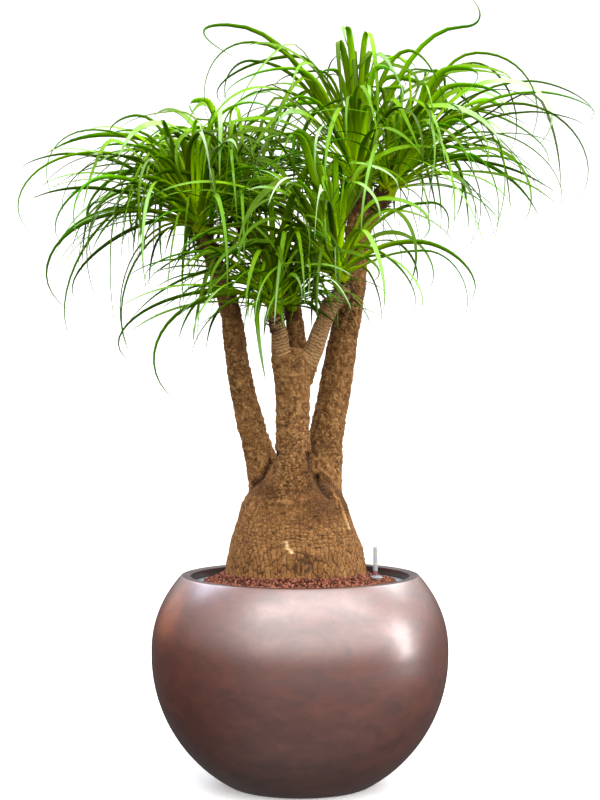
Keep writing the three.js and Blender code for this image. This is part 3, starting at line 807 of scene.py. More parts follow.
@dataclass
class Planter:
    """The ball planter: a truncated ball that draws in at the shoulder, a flat rim and a collar inside."""

    foot_rounding: float = 28 * MM
    shoulder_centre_height: float = 231 * MM
    shoulder_rise: float = 206.7 * MM
    rim_rounding: float = 2.4 * MM
    lip_rounding: float = 2.5 * MM
    mouth_radius: float = 183.5 * MM
    rim_radius: float = 197 * MM
    throat_rise: float = 22 * MM
    collar_depth: float = 33 * MM
    wall: float = 9 * MM
    floor: float = 15 * MM
    ball_centre_height: float = 221 * MM
    ball_radius: float = 250 * MM
    height: float = 355 * MM
    steps: int = 160

    def rounding(self, radius: float, plane: float, side: int) -> tuple[tuple[float, float], float]:
        """Where a rounding touches the ball's inside and a level plane.

        Args:
            radius: the rounding's radius.
            plane: the plane's height.
            side: 1 where the rounding lies above the plane, -1 below.

        Returns:
            The rounding's centre as radius and height, and the angle of its touching point in degrees.
        """
        height = plane + side * radius
        rise = height - self.ball_centre_height
        out = math.sqrt((self.ball_radius - radius) ** 2 - rise**2)
        return (out, height), math.degrees(math.atan2(rise, out))

    def shoulder(self) -> list[tuple[float, float]]:
        """Returns the points of the shoulder, half an ellipse, up to and round the rim's outer corner."""

        def angle_at(height: float) -> float:
            """Returns the ellipse's angle at a height."""
            return math.asin((height - self.shoulder_centre_height) / self.shoulder_rise)

        top = angle_at(self.height)
        lean = math.atan2(self.ball_radius * math.sin(top), self.shoulder_rise * math.cos(top))
        last = angle_at(self.height - self.rim_rounding * (1 - math.sin(lean)))
        curve = [
            (self.ball_radius * math.cos(t), self.shoulder_centre_height + self.shoulder_rise * math.sin(t))
            for t in np.linspace(0, last, 29)
        ]
        corner = (curve[-1][0] - self.rim_rounding * math.cos(lean), self.height - self.rim_rounding)
        return [*curve[:-1], *arc(corner, self.rim_rounding, math.degrees(lean), 90, 5)]

    def outline(self) -> list[tuple[float, float]]:
        """Returns the section's points, from the axis under the base back to the axis on the floor."""
        foot, foot_angle = self.rounding(self.foot_rounding, 0.0, 1)
        ball = (0.0, self.ball_centre_height)
        inside = self.ball_radius - self.wall
        collar_foot = self.height - self.collar_depth

        def inside_angle(height: float) -> float:
            """Returns the angle at which the inner wall reaches a height."""
            return math.degrees(math.asin((height - self.ball_centre_height) / inside))

        lip = (self.mouth_radius + self.lip_rounding, self.height - self.lip_rounding)
        return [
            (0.0, 0.0),
            (foot[0] * 0.6, 0.0),
            *arc(foot, self.foot_rounding, -90, foot_angle, 8),
            *arc(ball, self.ball_radius, foot_angle, 0, 36)[1:],
            *self.shoulder(),
            *arc(lip, self.lip_rounding, 90, 180, 5),
            (self.mouth_radius, collar_foot),
            *arc(ball, inside, inside_angle(collar_foot - self.throat_rise), inside_angle(self.floor), 24),
            (0.0, self.floor),
        ]

    def build(self) -> None:
        """Builds the planter's shell."""
        piece = turned_piece("planter_shell", self.outline(), self.steps)
        # A darker, duller copy of the lacquer is painted inside the mouth as its shade. The mask takes every
        # face inside the rim's outer edge above the ball's middle, so the rim's top gets it too.
        rim = MetalLeafLacquer(
            "bronze_lacquer_rim_painted_shade", "#2E1913", "#40251D", "#553329", roughness=0.42, ior=1.6, coat=0.3
        )
        for face in piece.data.polygons:
            out = math.hypot(face.center.x, face.center.y)
            face.material_index = int(out < self.rim_radius and face.center.z > self.ball_centre_height)
        dress(piece, [MetalLeafLacquer().build(), rim.build()], replaces="planter")


@dataclass
class Liner:
    """The plastic insert: a flange on the planter's collar, a tapered wall and a sloping foot."""

    flange_height: float = 341 * MM
    flange_thickness: float = 3 * MM
    flange_radius: float = 183.2 * MM
    flange_lip: float = 0.8 * MM
    top_radius: float = 164.5 * MM
    shoulder_radius: float = 142 * MM
    shoulder_height: float = 46 * MM
    foot_radius: float = 110 * MM
    foot_height: float = 15.3 * MM
    wall: float = 3 * MM
    bead: float = 1.2 * MM
    steps: int = 128

    def outline(self) -> list[tuple[float, float]]:
        """Returns the section's points."""
        under = self.flange_height - self.flange_thickness
        floor = self.foot_height + self.wall
        outer_bead = (self.flange_radius - self.bead, self.flange_height - self.bead)
        inner_bead = (self.top_radius + self.bead, self.flange_height - self.bead + self.flange_lip)
        slope = (self.top_radius - self.shoulder_radius) / (self.flange_height - self.shoulder_height)
        return [
            (0.0, self.foot_height),
            (self.foot_radius + self.wall, self.foot_height),
            (self.shoulder_radius + self.wall, self.shoulder_height - self.wall / 2),
            (self.shoulder_radius + self.wall + slope * (under - self.shoulder_height), under),
            (self.flange_radius, under),
            *arc(outer_bead, self.bead, 0, 90, 4),
            *arc(inner_bead, self.bead, 90, 180, 4),
            (self.shoulder_radius, self.shoulder_height),
            (self.foot_radius, floor),
            (0.0, floor),
        ]

    def build(self) -> None:
        """Builds the insert."""
        piece = turned_piece("liner_insert", self.outline(), self.steps)
        dress(piece, [MouldedPolypropylene().build()], replaces="liner")


@dataclass
class GranuleBed:
    """The clay granules that show: a loose layer of single grains over the bed's solid."""

    edge_radius: float = 163.2 * MM
    edge_height: float = 343 * MM
    mound: float = 12 * MM
    mound_spread: float = 14 * MM
    plant_centre: tuple[float, float] = (-8 * MM, 28 * MM)
    plant_radius: float = 116 * MM
    plant_depth_share: float = 0.93
    gauge_centre: tuple[float, float] = (127.7 * MM, 20 * MM)
    gauge_radius: float = 13.4 * MM
    spacing: float = 3.75 * MM
    grain_radius: float = 2.05 * MM
    shake: float = 0.22
    unevenness: float = 0.8 * MM
    layer_shift: float = 2.0 * MM
    upper_share: float = 0.45
    hollow: tuple[float, float] = (2.2 * MM, 19 * MM)
    gauge_gap: float = 20 * MM
    sizes: tuple[float, float] = (0.72, 1.2)
    stretches: tuple[float, float] = (0.82, 1.12)
    lumpiness: float = 0.16
    tones: tuple[float, float] = (2.2, 2.0)
    seed: int = 11

    def height(self, x: np.ndarray, y: np.ndarray) -> np.ndarray:
        """Returns the bed's level at x and y, raised round the plant."""
        from_plant = np.maximum(
            0.0, np.hypot(x - self.plant_centre[0], y - self.plant_centre[1]) - self.plant_radius
        )
        return self.edge_height + self.mound * np.exp(-((from_plant / self.mound_spread) ** 2))

    def places(self, rng: np.random.Generator) -> tuple[np.ndarray, np.ndarray, np.ndarray]:
        """Scatters the grains on a shaken hexagonal grid.

        Args:
            rng: the seeded source of the shaking.

        Returns:
            Rows of x, y and height of the lower layer's front and back, and of the loose grains on it.
        """
        row_step = self.spacing * math.sqrt(3) / 2
        count = int(2 * self.edge_radius / row_step) + 3
        columns, rows = np.meshgrid(np.arange(-count, count), np.arange(-count, count))
        x = (columns + 0.5 * (rows % 2)).ravel() * self.spacing
        y = rows.ravel() * row_step
        x = x + rng.normal(0, self.shake * self.spacing, len(x))
        y = y + rng.normal(0, self.shake * self.spacing, len(y))
        from_plant = np.hypot(x - self.plant_centre[0], (y - self.plant_centre[1]) / self.plant_depth_share)
        from_gauge = np.hypot(x - self.gauge_centre[0], y - self.gauge_centre[1])
        kept = (
            (np.hypot(x, y) < self.edge_radius - self.grain_radius)
            & (from_plant > self.plant_radius - 0.5 * self.grain_radius)
            & (from_gauge > self.gauge_radius)
        )
        x, y, from_gauge = x[kept], y[kept], from_gauge[kept]
        depth, spread = self.hollow
        level = self.height(x, y) + rng.normal(0, self.unevenness, len(x))
        lower = np.stack([x, y, level - depth * np.exp(-((from_gauge / spread) ** 2))], axis=1)
        upper = lower[(rng.random(len(x)) < self.upper_share) & (from_gauge > self.gauge_gap)]
        upper = upper + rng.normal(0, 0.3 * self.spacing, upper.shape) * [1, 1, 0]
        upper[:, 2] += self.layer_shift
        inside = np.hypot(upper[:, 0], upper[:, 1]) < self.edge_radius - self.grain_radius
        front = lower[:, 1] < 0
        return lower[front], lower[~front], upper[inside]

    def build(self) -> None:
        """Builds the two layers of grains and dresses the bed's solid under them."""
        rng = np.random.default_rng(self.seed)
        work = bmesh.new()
        bmesh.ops.create_icosphere(work, subdivisions=2, radius=1.0)
        ball = np.array([v.co[:] for v in work.verts])
        triangles = np.array([[v.index for v in face.verts] for face in work.faces])
        work.free()
        clay = FiredClay().build()
        for part, places in zip(("front", "back", "upper"), self.places(rng)):
            count = len(places)
            sizes = self.grain_radius * rng.uniform(*self.sizes, count)
            stretch = rng.uniform(*self.stretches, (count, 1, 3))
            turns = np.linalg.qr(rng.normal(size=(count, 3, 3)))[0]
            lumps = 1 + self.lumpiness * rng.normal(size=(count, len(ball), 1)).clip(-1.6, 1.6)
            shapes = np.einsum("nij,nvj->nvi", turns, ball[None] * stretch * lumps) * sizes[:, None, None]
            points = (shapes + places[:, None]).reshape(-1, 3)
            faces = (triangles[None] + (np.arange(count) * len(ball))[:, None, None]).reshape(-1, 3)
            tone = np.repeat(rng.beta(*self.tones, count), len(ball))
            tint = np.stack([tone, tone, tone, np.ones_like(tone)], axis=1)
            parts = MeshParts()
            parts.add(points, [faces], tint)
            dress(parts.build(f"clay_grains_{part}"), [clay])
        bed = bpy.data.objects["substrate"]
        bed.data.materials.clear()
        bed.data.materials.append(clay)


# ---------------------------------------------------------------- water gauge


@dataclass
class WaterGauge:
    """The water gauge: a clear tube on a flared foot, two short marks, its well and the red-tipped float."""

    centre: tuple[float, float] = (127.7 * MM, 20 * MM)
    seat: float = 347.4 * MM
    top: float = 400 * MM
    tube_radius: float = 4.2 * MM
    bore: float = 2.9 * MM
    foot_radius: float = 12.4 * MM
    foot_edge: float = 1.2 * MM
    flare_height: float = 6.0 * MM
    cap: float = 1.5 * MM
    well_radius: float = 8 * MM
    well_bore: float = 6.4 * MM
    well_foot: float = 64 * MM
    ledge: float = 2.5 * MM
    ledge_bore: float = 4 * MM
    clearance: float = 0.3 * MM
    tip_radius: float = 2.3 * MM
    tip_length: float = 7 * MM
    rod_radius: float = 1.2 * MM
    float_radius: float = 5.9 * MM
    float_length: float = 34 * MM
    travel: float = 40 * MM
    window: tuple[float, float] = (350.5 * MM, 359 * MM)
    mark_heights: tuple[float, float] = (372 * MM, 389 * MM)
    mark_width: float = 1.5 * MM
    mark_depth: float = 0.2 * MM
    mark_thickness: float = 0.12 * MM
    mark_spread: float = 0.42
    steps: int = 40

    def tube_outline(self) -> list[tuple[float, float]]:
        """Returns the tube's section, closed on itself down the well's bore."""
        flare = [
            (
                self.foot_radius + (self.tube_radius - self.foot_radius) * t,
                self.seat + self.foot_edge + self.flare_height * t**1.3,
            )
            for t in np.linspace(0, 1, 9)
        ]
        return [
            (self.ledge_bore, self.well_foot),
            (self.well_radius, self.well_foot),
            (self.well_radius, self.seat),
            (self.foot_radius, self.seat),
            *flare,
            (self.tube_radius, self.window[1]),
            *arc((self.tube_radius - 1 * MM, self.top - 1 * MM), 1 * MM, 0, 90, 4),
            (0.0, self.top),
            (0.0, self.top - self.cap),
            (self.bore, self.top - self.cap),
            (self.bore, self.window[1]),
            (self.bore, self.seat - 1 * MM),
            (self.well_bore, self.seat - 5 * MM),
            (self.well_bore, self.well_foot + self.ledge),
            (self.ledge_bore, self.well_foot + self.ledge),
            (self.ledge_bore, self.well_foot),
        ]

    def float_outline(self) -> list[tuple[float, float]]:
        """Returns the float's section: body, rod and tip."""
        foot = self.well_foot + self.ledge + self.clearance
        tip_top = self.top - self.cap - self.clearance - self.travel
        round_off = 1.2 * MM
        return [
            (0.0, foot),
            *arc((self.float_radius - round_off, foot + round_off), round_off, -90, 0, 4),
            *arc((self.float_radius - round_off, foot + self.float_length - round_off), round_off, 0, 90, 4),
            (self.rod_radius, foot + self.float_length),
            (self.rod_radius, tip_top - self.tip_length),
            (self.tip_radius, tip_top - self.tip_length),
            *arc((self.tip_radius - 0.6 * MM, tip_top - 0.6 * MM), 0.6 * MM, 0, 90, 3),
            (0.0, tip_top),
        ]

    def mark(self, height: float) -> tuple[np.ndarray, list[np.ndarray]]:
        """Shapes a short printed mark on the tube's front.

        Args:
            height: where it stands.

        Returns:
            Its points, and its faces as MeshParts takes them.
        """
        half, rows = self.mark_width / 2, 9
        inner, outer = self.tube_radius - self.mark_depth, self.tube_radius + self.mark_thickness
        x, y = self.centre
        points = [
            (x + radius * math.cos(turn), y + radius * math.sin(turn), height + rise)
            for turn in np.linspace(-self.mark_spread, self.mark_spread, rows) - math.pi / 2
            for radius, rise in ((inner, -half), (outer, -half), (outer, half), (inner, half))
        ]
        ends = np.array([(3, 2, 1, 0), range(4 * rows - 4, 4 * rows)])
        return np.array(points), [np.concatenate([ring_faces(rows, 4), ends])]

    def build(self) -> None:
        """Builds the tube, its marks and the float."""
        clear = PlainPlastic("clear_styrene", "#CDD1D6", 0.12, transmission=0.6, ior=1.07).build()
        window = PlainPlastic("polished_styrene", "#EEF0F2", 0.06, transmission=0.96, ior=1.07).build()
        red = PlainPlastic("red_polystyrene", "#D2331C", 0.35).build()
        yellow = PlainPlastic("yellow_print", "#E3C12C", 0.45).build()
        tube = turned_piece("gauge_clear_tube", self.tube_outline(), self.steps, self.centre)
        for face in tube.data.polygons:
            out = math.hypot(face.center.x - self.centre[0], face.center.y - self.centre[1])
            clear_here = self.window[0] < face.center.z < self.window[1] and out < 1.7 * self.tube_radius
            face.material_index = int(clear_here)
        dress(tube, [clear, window], replaces="gauge_tube")
        marks = MeshParts()
        for height in self.mark_heights:
            marks.add(*self.mark(height))
        dress(marks.build("gauge_marks"), [yellow])
        piece = turned_piece("gauge_red_float", self.float_outline(), self.steps, self.centre)
        dress(piece, [red], body=FLOAT_BODY, replaces="gauge_float")


# ---------------------------------------------------------------- trunk


@dataclass(frozen=True)
class RingedBranch:
    """A young branch whose bark still shows the rings of its old leaves."""

    start: tuple[float, float, float]
    end: tuple[float, float, float]
    reach: float = 19.0


@dataclass(frozen=True)
class Blot:
    """A soft dark blot on the trunk's front: its middle and half widths in millimetres, and its strength."""

    x: float
    height: float
    wide: float
    high: float
    strength: float

    def shade(self, points: np.ndarray) -> np.ndarray:
        """Returns how dark it makes points in metres, from its strength at the middle to 0 past the edge."""
        x, _, z = points.T / MM
        out = np.hypot((x - self.x) / self.wide, (z - self.height) / self.high)
        return self.strength * np.clip(1.5 - 1.5 * out, 0, 1)


@dataclass(frozen=True)
class BarkPattern:
    """The bark at its points: how much each is of the foot and of the stems, and its patterns."""

    foot: np.ndarray
    stem: np.ndarray
    plate_tone: np.ndarray
    block_tone: np.ndarray
    flakes: np.ndarray
    patches: np.ndarray


@dataclass
class Trunk:
    """The woody piece: the swollen foot with its small cork plates, rough stems and ringed young branches."""

    voxel: float = 1.65 * MM
    smoothing: int = 8
    swell: float = 1.2 * MM
    foot_top: float = 0.482
    foot_blend: float = 0.05
    finer_top: float = 0.405
    finer_blend: float = 0.09
    finer_share: float = 0.25
    plate: tuple[float, float, float] = (7.9 * MM, 7.9 * MM, 6.0 * MM)
    plate_shake: float = 0.55
    plate_gap: float = 0.2
    block: tuple[float, float, float] = (6.2 * MM, 6.2 * MM, 4.6 * MM)
    block_shake: float = 0.8
    block_gap: float = 0.24
    lump_depth: float = 4.0 * MM
    plate_depth: float = 1.7 * MM
    block_depth: float = 1.7 * MM
    flake_depth: float = 6.0 * MM
    fold_depth: float = 6.0 * MM
    strand_depth: float = 2.2 * MM
    bend_depth: float = 6.0 * MM
    bend_size: float = 16 * MM
    lump_size: float = 34 * MM
    patch_size: float = 36 * MM
    flake: tuple[float, float, float] = (4.6 * MM, 4.6 * MM, 6.6 * MM)
    front_limit: float = 20 * MM
    fold_spread: float = 6.0
    strand_spread: float = 2.6
    scar_spread: float = 4.2
    plain_tone: float = 0.29
    stem_tone: float = 0.05
    strand_tone: float = 0.5
    scar_tone: float = 0.85
    # The next three draw a belt of painted shade round the hollow where the stems meet the foot.
    belt_height: float = 0.49
    belt_width: float = 0.024
    belt_shade: float = 0.2
    neck_reach: float = 1.9
    neck_shade: float = 0.45
    seed: int = 5
    # The next two are painted shade on the trunk's front: a blot in the hollow where the stems meet the foot,
    # and two blots under the stems.
    painted_saddle_shade: Blot = Blot(22, 474, 84, 42, 0.5)
    painted_stem_shades: tuple[Blot, ...] = (Blot(47, 524, 52, 84, 0.6), Blot(-64, 502, 32, 34, 0.3))
    scar: tuple[tuple[float, float], ...] = ((-23, 416), (-20, 407), (-13, 400))
    folds: tuple[tuple[tuple[float, float], ...], ...] = (
        ((-40, 562), (-61, 520), (-84, 500)), ((14, 560), (22, 529), (36, 503), (50, 488)),
    )
    strands: tuple[tuple[tuple[float, float], ...], ...] = (
        ((63, 484), (70, 467), (74, 452), (81, 433)), ((52, 500), (60, 486), (62, 470)),
    )
    ringed: tuple[RingedBranch, ...] = (
        RingedBranch((-26, -28, 716), (-40, -52, 792)),
        RingedBranch((10, -27, 704), (69, -44, 842)),
    )

    def fine_mesh(self) -> bpy.types.Object:
        """Returns the trunk's solid with an even fine skin, its facets smoothed away."""
        piece = add_object("woody_trunk", bpy.data.objects["trunk"].data.copy())
        remesh = piece.modifiers.new("skin", "REMESH")
        remesh.mode = "VOXEL"
        remesh.voxel_size = self.voxel
        smooth = piece.modifiers.new("smooth", "SMOOTH")
        smooth.iterations = self.smoothing
        smooth.factor = 0.6
        shaped = piece.evaluated_get(bpy.context.evaluated_depsgraph_get())
        mesh = bpy.data.meshes.new_from_object(shaped)
        mesh.materials.clear()
        piece.modifiers.clear()
        piece.data = mesh
        return piece

    def ring_shares(self, points: np.ndarray) -> tuple[np.ndarray, np.ndarray]:
        """Finds the points of the ringed branches.

        Args:
            points: x, y, z in metres.

        Returns:
            How far each point is ringed, from 0 to 1, and its distance along its branch in metres.
        """
        share = np.zeros(len(points))
        along = np.zeros(len(points))
        for branch in self.ringed:
            start, end = np.array(branch.start) * MM, np.array(branch.end) * MM
            axis = unit(end - start)
            run = (points - start) @ axis
            out = np.linalg.norm(points - start - run[:, None] * axis, axis=1)
            length = np.linalg.norm(end - start)
            near = np.clip((branch.reach * MM - out) / (3 * MM), 0, 1)
            started = np.clip((run + 2 * MM) / (12 * MM), 0, 1)
            near *= started * np.clip((length + 12 * MM - run) / (5 * MM), 0, 1)
            along = np.where(near > share, run, along)
            share = np.maximum(share, near)
        return share, along

    def near_lines(
        self, points: np.ndarray, lines: Sequence[Sequence[tuple[float, float]]], spread: float
    ) -> np.ndarray:
        """Finds the points near lines drawn on the trunk's front.

        Args:
            points: x, y, z in metres.
            lines: each line's x and z in millimetres.
            spread: how far the lines' effect reaches, in millimetres.

        Returns:
            For each point 1 on a line, falling to 0 at the spread.
        """
        flat = points[:, [0, 2]] / MM
        away = np.full(len(points), np.inf)
        for line in lines:
            for start, end in zip(np.array(line[:-1], dtype=float), np.array(line[1:], dtype=float)):
                run = end - start
                share = np.clip((flat - start) @ run / (run @ run), 0, 1)
                away = np.minimum(away, np.linalg.norm(flat - start - share[:, None] * run, axis=1))
        return np.clip(1 - away / spread, 0, 1) * (points[:, 1] < self.front_limit)

    def tone(self, points: np.ndarray, bark: BarkPattern) -> np.ndarray:
        """Works out how pale the cork is, with painted shade in the hollow where the stems meet the foot and
        under the stems, and dark at the necks.

        Args:
            points: x, y, z in metres.
            bark: the bark's patterns there.

        Returns:
            The tone of each point, about 0 to 1.
        """
        front = points[:, 1] < self.front_limit
        tone = self.plain_tone + 0.2 * bark.foot * (bark.plate_tone - 0.5)
        tone += bark.stem * (self.stem_tone + 0.3 * (bark.block_tone - 0.5) + 0.7 * bark.flakes)
        # Painted shade: a belt round the hollow where the stems meet the foot, and a blot on its front.
        belt = self.belt_shade * np.exp(-(((points[:, 2] - self.belt_height) / self.belt_width) ** 2))
        dark = np.maximum(self.painted_saddle_shade.shade(points) * front, belt)
        tone -= np.clip(0.85 + 2.2 * (bark.patches - 0.5), 0.3, 1.2) * dark
        # Painted shade under the stems, on the front.
        painted_stem_shades = sum(tone_with_shade.shade(points) * front for tone_with_shade in self.painted_stem_shades)
        tone -= np.clip(0.7 + 3 * bark.flakes, 0, 1.4) * painted_stem_shades
        for head in HEADS:
            neck = head.middle() - 1.7 * head.radius * head.pointing()
            near = np.linalg.norm(points / MM - neck, axis=1) / head.radius
            shade = np.clip(self.neck_reach - near, 0, self.neck_shade)
            tone -= shade * np.clip(1 + 5 * bark.flakes, 0.2, 1.6)
        return tone

    def relief(self, points: np.ndarray) -> tuple[np.ndarray, np.ndarray]:
        """Works out the bark's relief and the tint that its finish reads.

        Args:
            points: x, y, z in metres.

        Returns:
            How far each point stands out in metres, and rows of crack depth with the folds' painted shade,
            ring share, decimetres along a ringed branch, and how pale the cork is with its painted shade.
        """
        noise = LatticeNoise(self.seed)
        z = points[:, 2]
        foot = np.clip((self.foot_top - z) / self.foot_blend, 0, 1)
        ring, along = self.ring_shares(points)
        stem = (1 - foot) * (1 - ring)
        # Whole numbers are added so that each pattern comes from another part of the noise.
        bend = [noise.fractal(points / self.bend_size + shift, 2) - 0.5 for shift in (61, 83, 97)]
        bent = points + self.bend_depth * np.stack(bend, axis=1)
        finer = 1 + self.finer_share * np.clip((self.finer_top - z) / self.finer_blend, 0, 1)
        plate_edge, plate_tone = noise.cells(bent / np.array(self.plate) * finer[:, None], self.plate_shake)
        block_edge, block_tone = noise.cells(bent / np.array(self.block), self.block_shake)
        lumps = noise.fractal(points / self.lump_size + 3, 2) - 0.5
        flakes = noise.fractal(points / np.array(self.flake) + 27, 3) - 0.5
        patches = noise.fractal(points / self.patch_size + 51, 3)
        fold = self.near_lines(points, self.folds, self.fold_spread)
        strand = np.clip(2 * self.near_lines(points, self.strands, self.strand_spread), 0, 1)
        scarred = 2.6 * self.near_lines(points, [self.scar], self.scar_spread)
        scar = np.clip(scarred * (0.7 + 2 * flakes), 0, 1)
        plate_crack = foot * (1 - np.clip(plate_edge / self.plate_gap, 0, 1))
        block_crack = stem * (1 - np.clip(block_edge / self.block_gap, 0, 1))
        block_crack = block_crack * np.clip(3.0 * (patches - 0.3), 0.3, 0.9)
        # The folds are dented and also painted dark as the shade in their creases.
        crack = np.clip(plate_crack + block_crack + 0.9 * fold, 0, 1)
        out = self.swell + self.lump_depth * lumps - self.fold_depth * fold + self.strand_depth * strand
        out -= self.plate_depth * plate_crack + self.block_depth * block_crack
        out += self.flake_depth * (0.22 + 0.78 * stem) * flakes
        tone = self.tone(points, BarkPattern(foot, stem, plate_tone, block_tone, flakes, patches))
        tone += self.scar_tone * scar + self.strand_tone * strand
        crack = crack * (1 - np.maximum(strand, scar))
        tint = np.stack([crack, ring, along * 10, np.clip(tone, 0, 1.4)], axis=1)
        return out, tint

    def build(self) -> None:
        """Builds the trunk with its bark."""
        piece = self.fine_mesh()
        mesh = piece.data
        count = len(mesh.vertices)
        points = np.empty(count * 3, dtype=np.float32)
        normals = np.empty(count * 3, dtype=np.float32)
        mesh.vertices.foreach_get("co", points)
        mesh.vertices.foreach_get("normal", normals)
        points = points.reshape(-1, 3).astype(float)
        out, tint = self.relief(points)
        points += normals.reshape(-1, 3) * out[:, None]
        mesh.vertices.foreach_set("co", points.astype(np.float32).ravel())
        layer = mesh.attributes.new("tint", "FLOAT_COLOR", "POINT")
        layer.data.foreach_set("color", tint.astype(np.float32).ravel())
        mesh.update()
        mesh.shade_smooth()
        dress(piece, [CorkyBark().build()], replaces="trunk")


# ---------------------------------------------------------------- leafy heads


@dataclass(frozen=True)
class Head:
    """A leafy head. Lengths are in millimetres, as the solids' source gives them.

    Each row of leading is a blade that shapes the outline, from the heart: apex x, apex z, tip x, tip z,
    tip y, reach past the apex, width.
    """

    node: str
    number: int
    heart: tuple[float, float, float]
    axis: tuple[float, float, float]
    radius: float
    leaves: int
    length: float
    width: float
    rise: float
    hang: float
    filling: int
    stoutness: float
    leading: tuple[tuple[float, ...], ...] = ()

    def middle(self) -> np.ndarray:
        """Returns the heart as an array."""
        return np.array(self.heart, dtype=float)

    def pointing(self) -> np.ndarray:
        """Returns the head's axis at length 1."""
        return unit(np.array(self.axis, dtype=float))

    def around(self, angle: float | np.ndarray) -> np.ndarray:
        """Returns the directions at right angles to the axis, at one angle or at many."""
        axis = self.pointing()
        right = unit(np.array([1.0, 0.0, 0.0]) - axis[0] * axis)
        return np.cos(angle)[..., None] * right + np.sin(angle)[..., None] * np.cross(axis, right)


HEADS = (
    Head("crown_left", 0, (-167, 20, 938), (-0.32, -0.05, 0.94), 14, 27, 470, 11, 0.37, 0.4, 85, 0.86, (
        (-175, 162, -228, 33, -60, 80, 12), (-108, 190, -150, 153, 20, 30, 11),
        (-118, 163, -148, 152, -40, 12, 11), (-225, 126, -298, 99, 30, 35, 10),
        (-175, 126, -277, -14, -20, 110, 11), (-95, 27, -217, -138, -60, 140, 12),
        (-90, 50, -223, -190, 40, 80, 11), (-110, 68, -131, -193, -90, 45, 15),
        (-60, 14, -212, -121, 10, 60, 10), (-20, 10, -101, -240, -50, 120, 12),
        (-18, 8, -115, -218, 10, 90, 11), (-60, 70, -70, -110, -300, 70, 11),
        (-60, 90, -80, -60, 260, 70, 11),
    )),
    Head("crown_back_left", 1, (-104, 80, 966), (-0.35, 0.2, 0.9), 14, 38, 500, 11, 0.34, 0.36, 80, 1.0, (
        (-20, 120, -30, -60, 300, 80, 11), (-60, 60, -110, -150, 280, 70, 11),
    )),
    Head("crown_low_left", 2, (-41, -53, 804), (-0.08, -0.1, 0.99), 13, 27, 400, 11, 0.42, 0.13, 85, 0.95, (
        (-5, 159, 9, 129, -40, 6, 12), (-55, 22, -163, -152, -40, 130, 13),
        (-94, 26, -239, -90, 10, 110, 11), (-21, 10, -14, -122, -70, 45, 10),
        (-35, 20, -127, -105, -85, 60, 11), (-20, 90, -40, -15, -290, 60, 11),
        (-60, 40, -120, -60, -240, 60, 10),
    )),
    Head("crown_middle", 3, (-14, -8, 806), (0.05, -0.12, 0.98), 8, 12, 250, 9, 0.5, 0.2, 30, 1.0),
    Head("crown_low_right", 4, (66, -45, 856), (-0.24, -0.08, 0.96), 14, 28, 440, 12, 0.48, 0.27, 85, 1.05, (
        (-70, 238, -73, 156, -10, 8, 15), (-40, 184, -47, 178, 10, 4, 17),
        (42, 159, -7, 50, -60, 18, 11), (150, 120, 168, 58, -30, 30, 11),
        (123, 55, 209, -43, -60, 60, 12), (30, 48, 116, -63, -45, 50, 11),
        (36, 14, 66, -81, -30, 15, 10), (30, 70, 60, -60, -300, 70, 12),
        (60, 30, 120, -60, -230, 60, 11),
    )),
    Head("crown_top", 5, (102, 95, 1015), (-0.1, 0.0, 0.99), 17, 33, 520, 12, 0.5, 0.3, 60, 1.05, (
        (176, 268, 184, 316, -40, 40, 13), (-225, 270, -211, 211, -60, 75, 11),
        (-182, 238, -237, 71, -95, 85, 10), (-187, 212, -222, 136, -10, 36, 10),
        (-36, 242, -26, 62, -70, 9, 12), (-10, 226, -5, 113, -45, 10, 11),
        (12, 256, 27, 50, -85, 30, 11), (19, 228, -22, 162, -20, 15, 12),
        (82, 226, 137, 89, -60, 34, 11), (20, 130, 30, -40, 320, 80, 12),
        (-60, 150, -110, 10, 300, 80, 11), (-30, 120, -60, -20, -270, 70, 12),
    )),
    Head("crown_right", 6, (150, 100, 1006), (0.55, 0.02, 0.83), 15, 32, 500, 11, 0.46, 0.36, 38, 0.68, (
        (150, 232, 225, 64, -60, 95, 12), (246, 189, 351, 122, 30, 55, 11),
        (253, 167, 345, 118, -40, 50, 12), (210, 145, 311, -29, -90, 100, 11),
        (240, 130, 323, 91, -110, 40, 10), (150, 140, 279, 43, 70, 60, 10),
        (160, 98, 277, -55, -55, 90, 11), (130, 124, 167, -88, -120, 80, 15),
        (146, 79, 232, -3, 20, 60, 11), (76, 53, 100, -33, -75, 35, 13),
        (40, 32, 69, -50, -40, 12, 12), (150, 222, 216, 71, 60, 60, 10),
        (60, 120, 110, -60, 300, 80, 11), (60, 90, 90, -90, -300, 80, 11),
    )),
)


@dataclass
class Blade:
    """One leaf: the line it follows in millimetres, its level heading, its width, turn, age and tone."""

    line: np.ndarray
    heading: np.ndarray
    width: float
    twist: float
    age: float
    tone: float
    turn_over: float = 0.45
    finish: LeafSide | None = None


